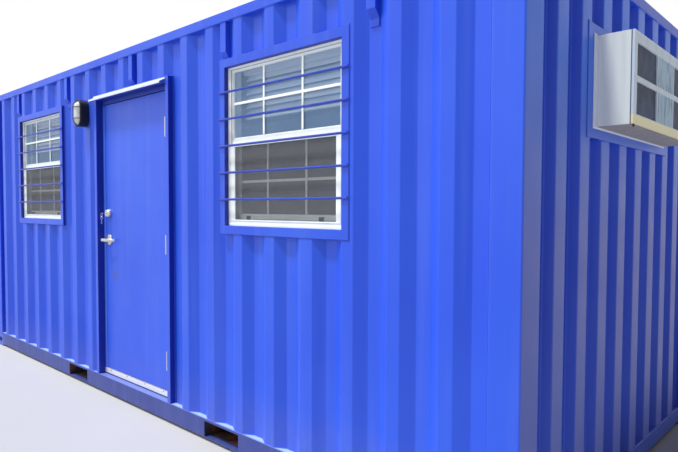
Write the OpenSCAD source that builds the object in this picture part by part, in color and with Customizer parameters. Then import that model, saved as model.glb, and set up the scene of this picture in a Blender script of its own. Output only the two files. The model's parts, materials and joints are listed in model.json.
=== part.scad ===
// A steel shipping container fitted out as a cabin, with a door, two barred windows and an air conditioner.
// X runs along the long side, the front faces -Y, and Z is up from the floor that the castings stand on.
// Pieces are drawn about the middle of the container, and placed() then sets the origin
// under the middle of the whole box, with the air conditioner and the lamp in it.

/* [Container] */
// Length over the corner castings
box_l = 6058; // [5900:1:6300]
// Width over the corner castings
box_w = 2438; // [2300:1:2500]
// Height over the corner castings
box_h = 2591; // [2560:1:2900]
// Length of a corner casting along the container
casting_l = 178; // [150:1:190]
// Width of a corner casting
casting_w = 162; // [140:1:175]
// Height of a corner casting
casting_h = 118; // [100:1:125]
// Wall of a corner casting
casting_wall = 28; // [20:1:32]
// Length of the hole in the top or bottom of a casting
aperture_l = 124; // [100:1:126]
// Width of that hole
aperture_w = 63.5; // [55:0.5:66]
// Middle of that hole from the end of the container
aperture_x = 102.5; // [98:0.5:106]
// Middle of that hole from the side of the container
aperture_y = 89.5; // [84:0.5:92]
// Height of the holes in the outer sides of a casting
side_hole_h = 51; // [45:1:55]
// Length of the hole on the long side
side_hole_l = 79; // [70:1:85]
// Length of the hole on the end
end_hole_l = 64; // [58:1:68]
// Face of a corner post on the long side
post_side = 148; // [130:1:160]
// Face of a corner post on the end
post_end = 154; // [130:1:165]
// Depth to which the post's edges turn in
post_return = 60; // [50:1:80]
// Plate of the posts and pressed rails
plate = 6; // [3:0.5:10]

/* [Rails] */
// Side of the square tube along the top
top_rail = 60; // [50:1:80]
// Wall of that tube
top_rail_wall = 4; // [2:0.5:6]
// How far the top rails lie below the castings' tops
top_rail_drop = 6; // [2:1:15]
// Height of the underside of the bottom rails
rail_foot = 17.5; // [12:0.5:25]
// Height of the ledge on the bottom side rail
ledge_z = 137; // [128:1:170]
// Depth of the ledge
ledge_d = 50; // [45:1:70]
// Plate of the bottom side rail
rail_plate = 4.5; // [3:0.5:8]

// Width of the folded boxes under the top rail
bracket_w = 55; // [45:1:70]
// Height of such a box at its face
bracket_face = 171; // [150:1:190]
// Its height against the wall sheet
bracket_h = 210; // [195:1:214]
// Length of the tab beneath it
bracket_tab = 35; // [20:1:50]

/* [Wall sheets] */
// Thickness of the pressed wall sheet
sheet = 2; // [1.2:0.1:3]
// How far the sheets' outer flats lie inside the faces of the posts
sheet_inset = 5; // [2:0.5:10]
// Pitch of the folds on the long sides
side_pitch = 284.5; // [270:0.5:300]
// Flat floor of a recess on the long sides
side_floor = 75; // [60:1:90]
// Run of a sloped fold on the long sides
side_run = 68; // [50:1:75]
// Depth of a recess on the long sides
side_depth = 36; // [25:0.5:40]
// Place of the middle recess on the long sides
side_start = -40; // [-80:1:0]
// Extra flat at the seam between two sheets
seam_gain = 19; // [0:1:30]
// Pitch of the folds on the ends
end_pitch = 250; // [230:1:260]
// Flat floor of a recess on the ends
end_floor = 104; // [90:1:115]
// Run of a sloped fold on the ends
end_run = 18; // [12:1:25]
// Depth of a recess on the ends
end_depth = 45.6; // [35:0.1:50]
// Pitch of the ribs across the roof
roof_pitch = 209; // [190:1:230]
// Depth of the ribs on the roof
roof_depth = 20; // [12:1:25]

/* [Floor] */
// Width of a forklift pocket
pocket_w = 352; // [330:1:365]
// Half the distance between the pockets
pocket_half = 1025; // [1000:1:1060]
// How far the pockets lie to the right of the middle
pocket_shift = 40; // [0:1:80]
// Height of a forklift pocket
pocket_h = 98; // [90:1:100]
// Thickness of the plywood floor
deck_t = 28; // [20:1:32]
// Thickness of the floor covering on its underlay
covering_t = 16; // [3:1:20]
// Spacing of the crossmembers
cross_pitch = 305; // [280:1:330]
// Flange of a crossmember
cross_flange = 45; // [35:1:60]

/* [Lining] */
// Depth of the welded frames, which is the wall's whole thickness
wall_d = 100; // [90:1:130]
// Thickness of the lining boards
lining_t = 12; // [8:0.5:18]
// Joint between two boards
board_joint = 3; // [1:0.5:6]
// How far the ceiling lies below the top of the wall sheets
ceiling_drop = 78.5; // [60:0.5:120]

/* [Windows] */
// How far the tubes over the windows and the door lie below the top of the wall sheets
head_drop = 216; // [180:1:240]
// Width of a window's opening
window_w = 956; // [900:1:980]
// Height of a window's opening
window_h = 918; // [850:1:930]
// Place of the left window along the wall
window_left_x = -1780; // [-1820:1:-1740]
// Place of the right window along the wall
window_right_x = 1597; // [1560:1:1640]
// Face of the steel tube round a window
window_tube = 50; // [40:1:60]
// How far the white frame is set back from the steel face
window_setback = 25; // [15:1:35]
// Side of the white window frame
window_frame_w = 27; // [22:1:34]
// Head of that frame
window_frame_head = 14; // [12:1:24]
// Sill of that frame
window_frame_sill = 29; // [22:1:36]
// Stile of the upper sash
upper_stile = 17; // [14:1:30]
// Top rail of the upper sash
upper_rail = 14; // [12:1:30]
// Stile and bottom rail of the lower sash
lower_stile = 42; // [30:1:48]
// Height of the meeting rails
meeting_rail = 46; // [34:1:52]
// Height of the middle of the meeting rails above the underside of the opening
meeting_h = 489; // [460:1:500]
// Thickness of a sash
sash_t = 24; // [18:1:28]
// Stile of the insect screen's frame, before the lower sash
screen_stile = 35; // [20:1:38]
// Top and bottom rail of that frame
screen_rail = 7; // [5:1:20]
// Thickness of that frame
screen_t = 8; // [6:1:10]
// Thickness of the glass
glass_t = 5; // [3:0.5:8]
// Diameter of a burglar bar
bar_d = 13; // [10:0.5:16]
// Spacing of the burglar bars
bar_pitch = 155; // [140:0.5:160]
// How far their middle lies above the middle of the window
bar_rise = 4; // [0:1:10]
// Number of burglar bars on a window
bar_count = 5; // [3:1:6]

/* [Door] */
// Left edge of the leaf along the wall
leaf_x = -545; // [-560:1:-530]
// Width of the leaf
leaf_w = 914; // [860:1:920]
// Thickness of the leaf
leaf_t = 45; // [40:1:50]
// How far the leaf lies behind the front plane
leaf_setback = 50; // [40:1:60]
// Height of the top of the threshold
threshold_z = 182; // [178:1:190]
// Height of the threshold's face
threshold_h = 36; // [25:1:40]
// Gap under the leaf, over it, behind it and at its hinges
leaf_gap = 6; // [5:0.5:8]
// Gap at the leaf's lock edge
lock_gap = 7; // [7:0.5:10]
// Face of the steel tube round the doorway
door_tube = 40; // [35:1:50]
// Left inner edge of that tube
doorway_x0 = -588; // [-600:1:-580]
// Right inner edge of that tube
doorway_x1 = 446; // [420:1:460]
// Face of the door frame over the leaf
frame_head = 30; // [25:1:45]
// How far the stop in the door frame stands proud of its rebate
stop_w = 16; // [12:1:20]
// Height of a hinge
hinge_h = 127; // [100:1:135]
// Radius of a hinge's knuckle
knuckle_r = 7; // [6:0.5:9]
// Radius of a hinge's pin
pin_r = 3; // [2.5:0.1:4]
// Middle of the lower hinge above the underside of the leaf
hinge_low = 209; // [180:1:240]
// Middle of the upper hinge below the top of the leaf
hinge_top = 243; // [200:1:270]
// Distance of the locks from the leaf's edge
backset = 60; // [55:1:75]
// Height of the lever's spindle above the underside of the leaf
lever_h = 1007; // [950:1:1060]
// Height of the deadbolt above the underside of the leaf
deadbolt_h = 1212; // [1180:1:1260]
// Diameter of the lever's rose
rose_d = 86; // [65:1:90]
// Diameter of the deadbolt's housing
deadbolt_d = 65; // [55:1:70]
// How far that housing stands out from the leaf
deadbolt_t = 26; // [14:1:30]
// Length of the lever
lever_l = 120; // [100:1:135]
// How far the drip cap stands out
cap_reach = 40; // [20:1:45]
// Height of the drip cap's front lip
cap_lip = 12; // [8:1:30]
// How far that lip reaches down over the opening
cap_low = 8; // [4:1:14]

/* [Lamp] */
// Place of the lamp along the wall
lamp_x = -785; // [-800:1:-770]
// How far the middle of the lamp lies below the top of the door's tube
lamp_drop = 122; // [90:1:150]
// Height of the lamp's body
lamp_h = 210; // [200:1:240]
// Width of the lamp's body
lamp_w = 130; // [118:1:135]
// Depth of the lamp's body
lamp_body_d = 60; // [50:1:70]
// Radius of the round of the glass
lamp_glass_r = 52; // [48:1:54]
// How far the glass stands out of the body
lamp_dome = 32; // [28:1:36]
// Distance between the guard's hoops
hoop_gap = 88; // [80:1:92]
// Wire of the guard
wire_d = 6; // [4:0.5:8]

/* [Air conditioner] */
// Width of the sleeve
ac_w = 1067; // [1000:1:1080]
// Height of the sleeve
ac_h = 412; // [390:1:430]
// How far the sleeve's top lies below the top of the wall sheets
ac_drop = 287; // [260:1:320]
// How far the unit stands out from the end
ac_reach = 171; // [140:1:200]
// Depth of the unit inside the wall
ac_inside = 190; // [150:1:240]
// Flange of the sleeve on the steel frame, at its sides
flange_side = 25; // [15:1:30]
// That flange above and below
flange_top = 9; // [6:1:15]
// Thickness of that flange
flange_t = 3; // [2:0.5:4]
// Side member of the steel frame round it
ac_frame_side = 84; // [70:1:95]
// Top and bottom member of that frame
ac_frame_top = 52; // [40:1:60]
// Upright edge of the unit's outer face
face_edge = 40; // [20:1:50]
// Band along the top of that face
face_top = 50; // [35:1:60]
// Bar across its middle
face_mid = 26; // [18:1:32]
// Strip along its foot
face_foot = 46; // [30:1:60]
// Upright bars between its openings
face_bar = 12; // [8:1:32]
// Width of the opening at its left
pane_w = 300; // [220:1:320]
// Width of the louvred opening
louvre_w = 266; // [220:1:320]

/* [Hidden] */

paint = "#2f4fd0";
white = "#e8e8e4";
steel = "#b8bcc0";
ply = "#a98a60";
$fn = 48;

end_x = box_l / 2;
front_y = -box_w / 2;
casting_x = end_x - casting_l;
casting_y = box_w / 2 - casting_w;
post_x = end_x - post_side;
post_y = box_w / 2 - post_end;
rail_top_z = box_h - top_rail_drop;
wall_top_z = rail_top_z - top_rail;
side_face_y = front_y + sheet_inset;
end_face_x = end_x - sheet_inset;
inner_rail_x = end_x - top_rail;
inner_rail_y = box_w / 2 - top_rail;
cross_z0 = rail_foot + rail_plate;
cross_z1 = ledge_z - rail_plate;
deck_z = cross_z1 + deck_t;
floor_z = deck_z + covering_t;
ceiling_z = wall_top_z - ceiling_drop;
lining_y = box_w / 2 - wall_d;
lining_x = end_x - wall_d;
room_x = lining_x - lining_t;
room_y = lining_y - lining_t;
pocket_z0 = rail_foot + plate;
window_xs = [window_left_x, window_right_x];
door_head_z = wall_top_z - head_drop;
window_z1 = door_head_z - window_tube;
window_z = window_z1 - window_h;
window_out_w = window_w + 2 * window_tube;
door_out_x0 = doorway_x0 - door_tube;
door_out_x1 = doorway_x1 + door_tube;
doorway_z1 = door_head_z - door_tube;
leaf_y = front_y + leaf_setback;
frame_z1 = doorway_z1 - frame_head;
leaf_z = threshold_z + leaf_gap;
leaf_z1 = frame_z1 - leaf_gap;
leaf_x1 = leaf_x + leaf_w;
leaf_back_y = leaf_y + leaf_t;
frame_x0 = leaf_x - lock_gap;
frame_x1 = leaf_x1 + leaf_gap;
hinge_x = leaf_x1 + leaf_gap / 2;
hinge_y = leaf_y - knuckle_r;
lock_x = leaf_x + backset;
ac_half = ac_w / 2;
ac_z1 = wall_top_z - ac_drop;
ac_z = ac_z1 - ac_h;
seam_at = 7;
side_last = ceil(end_x / side_pitch) + 1;
end_last = ceil(box_w / 2 / end_pitch) + 1;
cross_last = floor((end_x - post_return - cross_flange) / cross_pitch);
lamp_z = door_head_z - lamp_drop;
lamp_face_y = side_face_y - lamp_body_d;
lamp_axis_y = lamp_face_y - lamp_dome + lamp_glass_r;
hoop_gap_to_glass = 2;
hoop_r = lamp_glass_r + hoop_gap_to_glass + wire_d / 2;
lamp_front_y = lamp_axis_y - hoop_r - wire_d / 2;

// Sets the origin under the middle of the whole box
module placed() {
    translate([-ac_reach / 2, -(lamp_front_y + box_w / 2) / 2, 0])
        children();
}

// The same piece on the front and on the back
module on_both_sides() {
    children();
    mirror([0, 1, 0])
        children();
}

// The same piece on the left and on the right
module on_both_ends() {
    children();
    mirror([1, 0, 0])
        children();
}

// A block between two corners
module block(low, high) {
    translate(low)
        cube(high - low);
}

// A flat ring in the X-Z plane, from y0 to y1, with a side of w, a foot and a head
module ring(x0, x1, z0, z1, w, foot, head, y0, y1) {
    difference() {
        block([x0, y0, z0], [x1, y1, z1]);
        block([x0 + w, y0 - 1, z0 + foot], [x1 - w, y1 + 1, z1 - head]);
    }
}

// Middles of the recesses of the long sides, with the wider flat at the right-hand seam
function recess_x(k) = side_start + k * side_pitch + (k >= seam_at ? seam_gain : 0);
function side_recesses() = [for (k = [-side_last : side_last]) recess_x(k)];

// Middles of the recesses of the ends
function end_recesses() = [for (k = [-end_last : end_last]) k * end_pitch];

// One face of a folded sheet: it lies on y = 0 and dips to y = depth in each recess
function fold_line(centres, floor_w, run, depth, shift) = [for (c = centres)
    each [[c - floor_w / 2 - run - shift, 0], [c - floor_w / 2 - shift, depth],
        [c + floor_w / 2 + shift, depth], [c + floor_w / 2 + run + shift, 0]]];

// Section of a folded sheet of even thickness, with its outside on y = 0
module folded_section(centres, floor_w, run, depth) {
    bend = sheet * tan(atan2(depth, run) / 2);
    outer = fold_line(centres, floor_w, run, depth, 0);
    inner = [for (p = fold_line(centres, floor_w, run, depth, bend)) [p[0], p[1] + sheet]];
    count = len(inner);
    polygon(concat(outer, [for (i = [count - 1 : -1 : 0]) inner[i]]));
}

// A stretch of the long side's sheet
module side_sheet(x0, x1, z0, z1) {
    translate([0, side_face_y, z0])
        linear_extrude(z1 - z0)
            intersection() {
                folded_section(side_recesses(), side_floor, side_run, side_depth);
                translate([x0, -1])
                    square([x1 - x0, wall_d]);
            }
}

// A stretch of the right-hand end's sheet
module end_sheet(y0, y1, z0, z1) {
    translate([end_face_x, 0, z0])
        rotate([0, 0, 90])
            linear_extrude(z1 - z0)
                intersection() {
                    folded_section(end_recesses(), end_floor, end_run, end_depth);
                    translate([y0, -1])
                        square([y1 - y0, wall_d]);
                }
}

// The same piece at the eight corners, drawn for the right-hand front bottom corner
module at_corners() {
    on_both_ends()
        on_both_sides() {
            children();
            translate([0, 0, box_h])
                mirror([0, 0, 1])
                    children();
        }
}

// Outside of a corner casting
module casting_block() {
    block([casting_x, front_y, 0], [end_x, front_y + casting_w, casting_h]);
}

module all_castings() {
    at_corners()
        casting_block();
}

// A long hole or plate with round ends, its length along X
module stadium(l, w) {
    square([l - w, w], center = true);
    for (s = [-1, 1])
        translate([s * (l - w) / 2, 0])
            circle(d = w);
}

// Hollow castings with a hole below or above, and one in each outer side
module corner_castings() {
    inner_wall = 12;
    hole_d = casting_wall + 2;
    color(paint)
        placed()
            at_corners()
                difference() {
                    casting_block();
                    block([casting_x + inner_wall, front_y + casting_wall, casting_wall],
                        [end_x - casting_wall, -casting_y - inner_wall, casting_h - inner_wall]);
                    translate([end_x - aperture_x, front_y + aperture_y, -1])
                        linear_extrude(hole_d)
                            stadium(aperture_l, aperture_w);
                    translate([end_x - aperture_x, front_y - 1, casting_h / 2])
                        rotate([-90, 0, 0])
                            linear_extrude(hole_d)
                                stadium(side_hole_l, side_hole_h);
                    translate([end_x + 1, front_y + aperture_y, casting_h / 2])
                        rotate([0, -90, 0])
                            rotate([0, 0, 90])
                                linear_extrude(hole_d)
                                    stadium(end_hole_l, side_hole_h);
                }
}

// Folded plate posts, open to the inside, between the castings
module corner_posts() {
    color(paint)
        placed()
            on_both_ends()
                on_both_sides()
                    translate([0, 0, casting_h])
                        linear_extrude(box_h - 2 * casting_h) {
                            translate([post_x, front_y])
                                square([post_side, plate]);
                            translate([end_x - plate, front_y])
                                square([plate, post_end]);
                            translate([post_x, front_y])
                                square([plate, post_return]);
                            translate([end_x - post_return, -post_y - plate])
                                square([post_return, plate]);
                        }
}

// Pressed channel with its ledge on top, its web cut for the forklift pockets
module side_rail_channel(half_l, z0) {
    block([-half_l, front_y, z0], [half_l, front_y + rail_plate, ledge_z]);
    block([-half_l, front_y, ledge_z - rail_plate], [half_l, front_y + ledge_d, ledge_z]);
}

module bottom_side_rails() {
    color(paint)
        placed()
            on_both_sides()
                difference() {
                    union() {
                        side_rail_channel(casting_x, rail_foot);
                        side_rail_channel(post_x, casting_h);
                        block([-casting_x, front_y, rail_foot], [casting_x, front_y + ledge_d, cross_z0]);
                    }
                    for (side = [-1, 1])
                        translate([pocket_shift + side * pocket_half - pocket_w / 2, front_y - 1, pocket_z0])
                            cube([pocket_w, ledge_d + 2, pocket_h]);
                }
}

module bottom_end_rails() {
    color(paint)
        placed()
            on_both_ends() {
                block([end_x - plate, -casting_y, rail_foot], [end_x, casting_y, casting_h]);
                block([end_x - post_return, -casting_y, rail_foot], [end_x, casting_y, rail_foot + plate]);
                block([end_x - post_return, -casting_y, casting_h - plate], [end_x, casting_y, casting_h]);
            }
}

module top_side_rails() {
    color(paint)
        placed()
            on_both_sides()
                difference() {
                    block([-casting_x, front_y, wall_top_z], [casting_x, -inner_rail_y, rail_top_z]);
                    block([-casting_x - 1, front_y + top_rail_wall, wall_top_z + top_rail_wall],
                        [casting_x + 1, -inner_rail_y - top_rail_wall, rail_top_z - top_rail_wall]);
                }
}

module top_end_rails() {
    color(paint)
        placed()
            on_both_ends()
                difference() {
                    block([inner_rail_x, -casting_y, wall_top_z], [end_x, casting_y, rail_top_z]);
                    block([inner_rail_x + top_rail_wall, -casting_y - 1, wall_top_z + top_rail_wall],
                        [end_x - top_rail_wall, casting_y + 1, rail_top_z - top_rail_wall]);
                }
}

// Places of the crossmembers, left out where a forklift pocket runs
function cross_places() = [for (k = [-cross_last : cross_last]) let (p = k * cross_pitch)
    if (min(abs(p - pocket_shift - pocket_half), abs(p - pocket_shift + pocket_half))
        > pocket_w / 2 + rail_plate + cross_flange) p];

// Channel crossmembers between the side rails
module crossmembers() {
    half = box_w / 2 - rail_plate;
    color(paint)
        placed()
            for (x = cross_places()) {
                block([x, -half, cross_z0], [x + rail_plate, half, cross_z1]);
                block([x, -half, cross_z0], [x + cross_flange, half, cross_z0 + rail_plate]);
                block([x, -half, cross_z1 - rail_plate], [x + cross_flange, half, cross_z1]);
            }
}

// Tunnels for a forklift's tines, with straps under both mouths
module forklift_pockets() {
    half = box_w / 2 - rail_plate;
    strap = 200;
    top_z = pocket_z0 + pocket_h;
    color(paint)
        placed()
            for (side = [-1, 1])
                translate([pocket_shift + side * pocket_half, 0, 0]) {
                    for (edge = [-1, 1])
                        translate([edge * (pocket_w + rail_plate) / 2 - rail_plate / 2, -half, cross_z0])
                            cube([rail_plate, 2 * half, cross_z1 - cross_z0]);
                    block([-pocket_w / 2, -half, top_z], [pocket_w / 2, half, top_z + rail_plate]);
                    on_both_sides()
                        block([-pocket_w / 2, front_y + ledge_d, rail_foot],
                            [pocket_w / 2, front_y + ledge_d + strap, pocket_z0]);
                }
}

// Plywood on the crossmembers, notched round the posts and the doorway's tubes
module floor_deck() {
    half_x = end_x - post_return;
    half_y = box_w / 2 - ledge_d;
    color(ply)
        placed()
            difference() {
                block([-half_x, -half_y, cross_z1], [half_x, half_y, deck_z]);
                on_both_ends()
                    on_both_sides()
                        block([post_x, front_y, cross_z1 - 1], [end_x, -post_y, deck_z + 1]);
                for (x = [door_out_x0, doorway_x1])
                    block([x, front_y, cross_z1 - 1], [x + door_tube, -lining_y, deck_z + 1]);
            }
}

module floor_covering() {
    color("#8b8f92")
        placed()
            block([-lining_x, -lining_y, deck_z], [lining_x, lining_y, floor_z]);
}

module front_wall_left() {
    color(paint)
        placed()
            difference() {
                side_sheet(-post_x, window_left_x - window_out_w / 2, ledge_z, wall_top_z);
                all_castings();
            }
}

module front_wall_between() {
    color(paint)
        placed()
            side_sheet(window_left_x + window_out_w / 2, door_out_x0, ledge_z, wall_top_z);
}

module front_wall_middle() {
    color(paint)
        placed()
            side_sheet(door_out_x1, window_right_x - window_out_w / 2, ledge_z, wall_top_z);
}

module front_wall_right() {
    color(paint)
        placed()
            difference() {
                side_sheet(window_right_x + window_out_w / 2, post_x, ledge_z, wall_top_z);
                all_castings();
            }
}

// The sheets under and over each window
module front_wall_by_windows() {
    color(paint)
        placed()
            for (x = window_xs) {
                side_sheet(x - window_out_w / 2, x + window_out_w / 2, ledge_z, window_z - window_tube);
                side_sheet(x - window_out_w / 2, x + window_out_w / 2, window_z1 + window_tube, wall_top_z);
            }
}

module front_wall_over_door() {
    color(paint)
        placed()
            side_sheet(door_out_x0, door_out_x1, door_head_z, wall_top_z);
}

module back_wall() {
    color(paint)
        placed()
            difference() {
                mirror([0, 1, 0])
                    side_sheet(-post_x, post_x, ledge_z, wall_top_z);
                all_castings();
            }
}

module left_end_wall() {
    color(paint)
        placed()
            difference() {
                mirror([1, 0, 0])
                    end_sheet(-post_y, post_y, casting_h, wall_top_z);
                all_castings();
            }
}

// The sheets on each side of the air conditioner's frame
module right_end_wall_sides() {
    color(paint)
        placed()
            difference() {
                on_both_sides()
                    end_sheet(-post_y, -ac_half - ac_frame_side, casting_h, wall_top_z);
                all_castings();
            }
}

// The sheets under and over the air conditioner's frame
module right_end_wall_by_unit() {
    half = ac_half + ac_frame_side;
    color(paint)
        placed() {
            end_sheet(-half, half, casting_h, ac_z - ac_frame_top);
            end_sheet(-half, half, ac_z1 + ac_frame_top, wall_top_z);
        }
}

// Ribbed roof sheet let in between the top side rails
module roof_panel() {
    rib_floor = 80;
    rib_run = 24;
    last = floor(casting_x / roof_pitch) + 1;
    color(paint)
        placed()
            translate([0, inner_rail_y, rail_top_z])
                rotate([90, 0, 0])
                    linear_extrude(2 * inner_rail_y)
                        intersection() {
                            mirror([0, 1])
                                folded_section([for (k = [-last : last]) k * roof_pitch],
                                    rib_floor, rib_run, roof_depth);
                            translate([-casting_x, -top_rail])
                                square([2 * casting_x, top_rail + 1]);
                        }
}

// Flat plates of the roof between the castings at each end
module roof_end_plates() {
    color(paint)
        placed()
            on_both_ends()
                block([casting_x, -casting_y, rail_top_z - plate], [inner_rail_x, casting_y, rail_top_z]);
}

// True where a tube of the door or of a window runs under a bracket at x
function over_opening(x) = (x + bracket_w / 2 > door_out_x0 && x - bracket_w / 2 < door_out_x1)
    || min([for (w = window_xs) abs(x - w)]) < (window_out_w + bracket_w) / 2;

// Folded boxes welded in some of the recesses under the top side rail
module top_rail_brackets() {
    tab_y = side_depth - plate;
    color(paint)
        placed()
            on_both_sides()
                for (k = [-8 : 4 : 8]) {
                    x = recess_x(k);
                    tab = over_opening(x) ? 0 : bracket_tab;
                    translate([x - bracket_w / 2, side_face_y, wall_top_z])
                        rotate([90, 0, 90])
                            linear_extrude(bracket_w)
                                polygon([[0, 0], [0, -bracket_face], [tab_y, -bracket_h],
                                    [tab_y, -bracket_h - tab], [side_depth, -bracket_h - tab], [side_depth, 0]]);
                }
}

// Boards inside the front wall, cut round the doorway and the windows
module front_lining() {
    top = ceiling_z;
    edges = [-lining_x, window_left_x - window_w / 2, window_left_x + window_w / 2, doorway_x0,
        doorway_x1, window_right_x - window_w / 2, window_right_x + window_w / 2, lining_x];
    color(white)
        placed() {
            for (i = [0 : 2 : 6])
                block([edges[i], -lining_y, floor_z], [edges[i + 1], -room_y, top]);
            for (i = [1, 5]) {
                block([edges[i] + board_joint, -lining_y, floor_z],
                    [edges[i + 1] - board_joint, -room_y, window_z]);
                block([edges[i] + board_joint, -lining_y, window_z1],
                    [edges[i + 1] - board_joint, -room_y, top]);
            }
            block([edges[3] + board_joint, -lining_y, doorway_z1], [edges[4] - board_joint, -room_y, top]);
        }
}

module back_lining() {
    color(white)
        placed()
            block([-lining_x, room_y, floor_z], [lining_x, lining_y, ceiling_z]);
}

module left_end_lining() {
    color(white)
        placed()
            block([-lining_x, -room_y, floor_z], [-room_x, room_y, ceiling_z]);
}

// Boards on the right-hand end, cut round the air conditioner
module right_end_lining() {
    color(white)
        placed() {
            on_both_sides()
                block([room_x, -room_y, floor_z], [lining_x, -ac_half, ceiling_z]);
            block([room_x, -ac_half + board_joint, floor_z], [lining_x, ac_half - board_joint, ac_z]);
            block([room_x, -ac_half + board_joint, ac_z1], [lining_x, ac_half - board_joint, ceiling_z]);
        }
}

module ceiling_lining() {
    color(white)
        placed()
            block([-lining_x, -lining_y, ceiling_z], [lining_x, lining_y, ceiling_z + lining_t]);
}

// Steel tube welded round each window
module window_surrounds() {
    color(paint)
        placed()
            for (x = window_xs)
                ring(x - window_out_w / 2, x + window_out_w / 2, window_z - window_tube, window_z1 + window_tube,
                    window_tube, window_tube, window_tube, front_y, -lining_y);
}

module window_frames() {
    y0 = front_y + window_setback;
    color(white)
        placed()
            for (x = window_xs)
                ring(x - window_w / 2, x + window_w / 2, window_z, window_z1,
                    window_frame_w, window_frame_sill, window_frame_head, y0, -lining_y);
}

sash_x = window_w / 2 - window_frame_w;
sash_z0 = window_z + window_frame_sill;
sash_z1 = window_z1 - window_frame_head;
meeting_z0 = window_z + meeting_h - meeting_rail / 2;
meeting_z1 = window_z + meeting_h + meeting_rail / 2;
upper_sash_y = front_y + window_setback + 8;
lower_sash_y = upper_sash_y + sash_t + 3;

// The fixed upper sash and, behind it, the lower sash
module window_sashes() {
    color(white)
        placed()
            for (x = window_xs) {
                ring(x - sash_x, x + sash_x, meeting_z0, sash_z1, upper_stile, meeting_rail, upper_rail,
                    upper_sash_y, upper_sash_y + sash_t);
                ring(x - sash_x, x + sash_x, sash_z0, meeting_z1, lower_stile, lower_stile, meeting_rail,
                    lower_sash_y, lower_sash_y + sash_t);
            }
}

// Frames of the insect screens that stand before the lower sashes
module screen_frames() {
    y0 = front_y + window_setback + 1;
    color(white)
        placed()
            for (x = window_xs)
                ring(x - sash_x, x + sash_x, sash_z0, meeting_z0 - 1, screen_stile, screen_rail, screen_rail,
                    y0, y0 + screen_t);
}

module window_glass() {
    upper_x = sash_x - upper_stile;
    lower_x = sash_x - lower_stile;
    color("#9fb4c4", 0.5)
        placed()
            for (x = window_xs) {
                block([x - upper_x, upper_sash_y + (sash_t - glass_t) / 2, meeting_z1],
                    [x + upper_x, upper_sash_y + (sash_t + glass_t) / 2, sash_z1 - upper_rail]);
                block([x - lower_x, lower_sash_y + (sash_t - glass_t) / 2, sash_z0 + lower_stile],
                    [x + lower_x, lower_sash_y + (sash_t + glass_t) / 2, meeting_z0]);
            }
}

// Round bars welded across the face of each window's steel tube
module burglar_bars() {
    inset = 5;
    color(paint)
        placed()
            for (x = window_xs)
                for (i = [0 : bar_count - 1])
                    translate([x - window_out_w / 2 + inset, front_y - bar_d / 2,
                            (window_z + window_z1) / 2 + bar_rise + (i - (bar_count - 1) / 2) * bar_pitch])
                        rotate([0, 90, 0])
                            cylinder(d = bar_d, h = window_out_w - 2 * inset);
}

// Steel tube welded round the doorway, standing on the ledge
module door_surround() {
    color(paint)
        placed()
            difference() {
                block([door_out_x0, front_y, ledge_z], [door_out_x1, -lining_y, door_head_z]);
                block([doorway_x0, front_y - 1, ledge_z - 1], [doorway_x1, -lining_y + 1, doorway_z1]);
            }
}

// Folded steel door frame with a rebate for the leaf and a stop behind it
module door_frame() {
    stop_y = leaf_back_y + leaf_gap;
    color(paint)
        placed()
            difference() {
                block([doorway_x0, leaf_y, threshold_z], [doorway_x1, -room_y, doorway_z1]);
                block([frame_x0, leaf_y - 1, threshold_z - 1], [frame_x1, stop_y, frame_z1]);
                block([frame_x0 + stop_w, leaf_y - 1, threshold_z - 1],
                    [frame_x1 - stop_w, -room_y + 1, frame_z1 - stop_w]);
            }
}

// Aluminium threshold on the floor, with a lip down the floor's edge
module threshold() {
    lip = 3;
    foot_z = threshold_z - threshold_h;
    color(steel)
        placed()
            translate([doorway_x0, 0, 0])
                rotate([90, 0, 90])
                    linear_extrude(doorway_x1 - doorway_x0)
                        polygon([[leaf_y - lip, foot_z], [leaf_y, foot_z], [leaf_y, deck_z],
                            [-lining_y, deck_z], [-lining_y, threshold_z], [leaf_y - lip, threshold_z]]);
}

// Folded cap that throws the rain clear of the leaf
module drip_cap() {
    cap_t = 2;
    rise = 6;
    flange = 10;
    top = cap_lip + rise;
    color(white)
        placed()
            translate([door_out_x0, front_y, doorway_z1 - cap_low])
                rotate([90, 0, 90])
                    linear_extrude(doorway_x1 - door_out_x0)
                        polygon([[-cap_reach, 0], [-cap_reach, cap_lip], [-cap_t, top], [-cap_t, top + flange],
                            [0, top + flange], [0, top - cap_t], [-cap_reach + cap_t, cap_lip - cap_t],
                            [-cap_reach + cap_t, 0]]);
}

hinge_z0 = leaf_z + hinge_low - hinge_h / 2;
hinge_z1 = leaf_z1 - hinge_top - hinge_h / 2;
hinge_zs = [hinge_z0, (hinge_z0 + hinge_z1) / 2, hinge_z1];
knuckle_h = hinge_h / 5;
knuckle_gap = 0.4;
plate_t = 2;
plate_d = 36;
pin_clearance = 0.05;

// Knuckles of one half, on the pin's axis, and the plate that carries them
module hinge_half(segments, plate_x0, plate_x1) {
    plate_y = leaf_y + 2;
    for (z = hinge_zs)
        translate([0, 0, z])
            difference() {
                union() {
                    block([plate_x0, plate_y, 0], [plate_x1, plate_y + plate_d, hinge_h]);
                    for (i = segments) {
                        z0 = i == 0 ? 0 : i * knuckle_h + knuckle_gap / 2;
                        z1 = i == 4 ? hinge_h : (i + 1) * knuckle_h - knuckle_gap / 2;
                        block([plate_x0, hinge_y, z0], [plate_x1, plate_y + 1, z1]);
                        translate([hinge_x, hinge_y, z0])
                            cylinder(r = knuckle_r, h = z1 - z0);
                    }
                }
                translate([hinge_x, hinge_y, -1])
                    cylinder(r = pin_r + pin_clearance, h = hinge_h + 2);
            }
}

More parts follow.
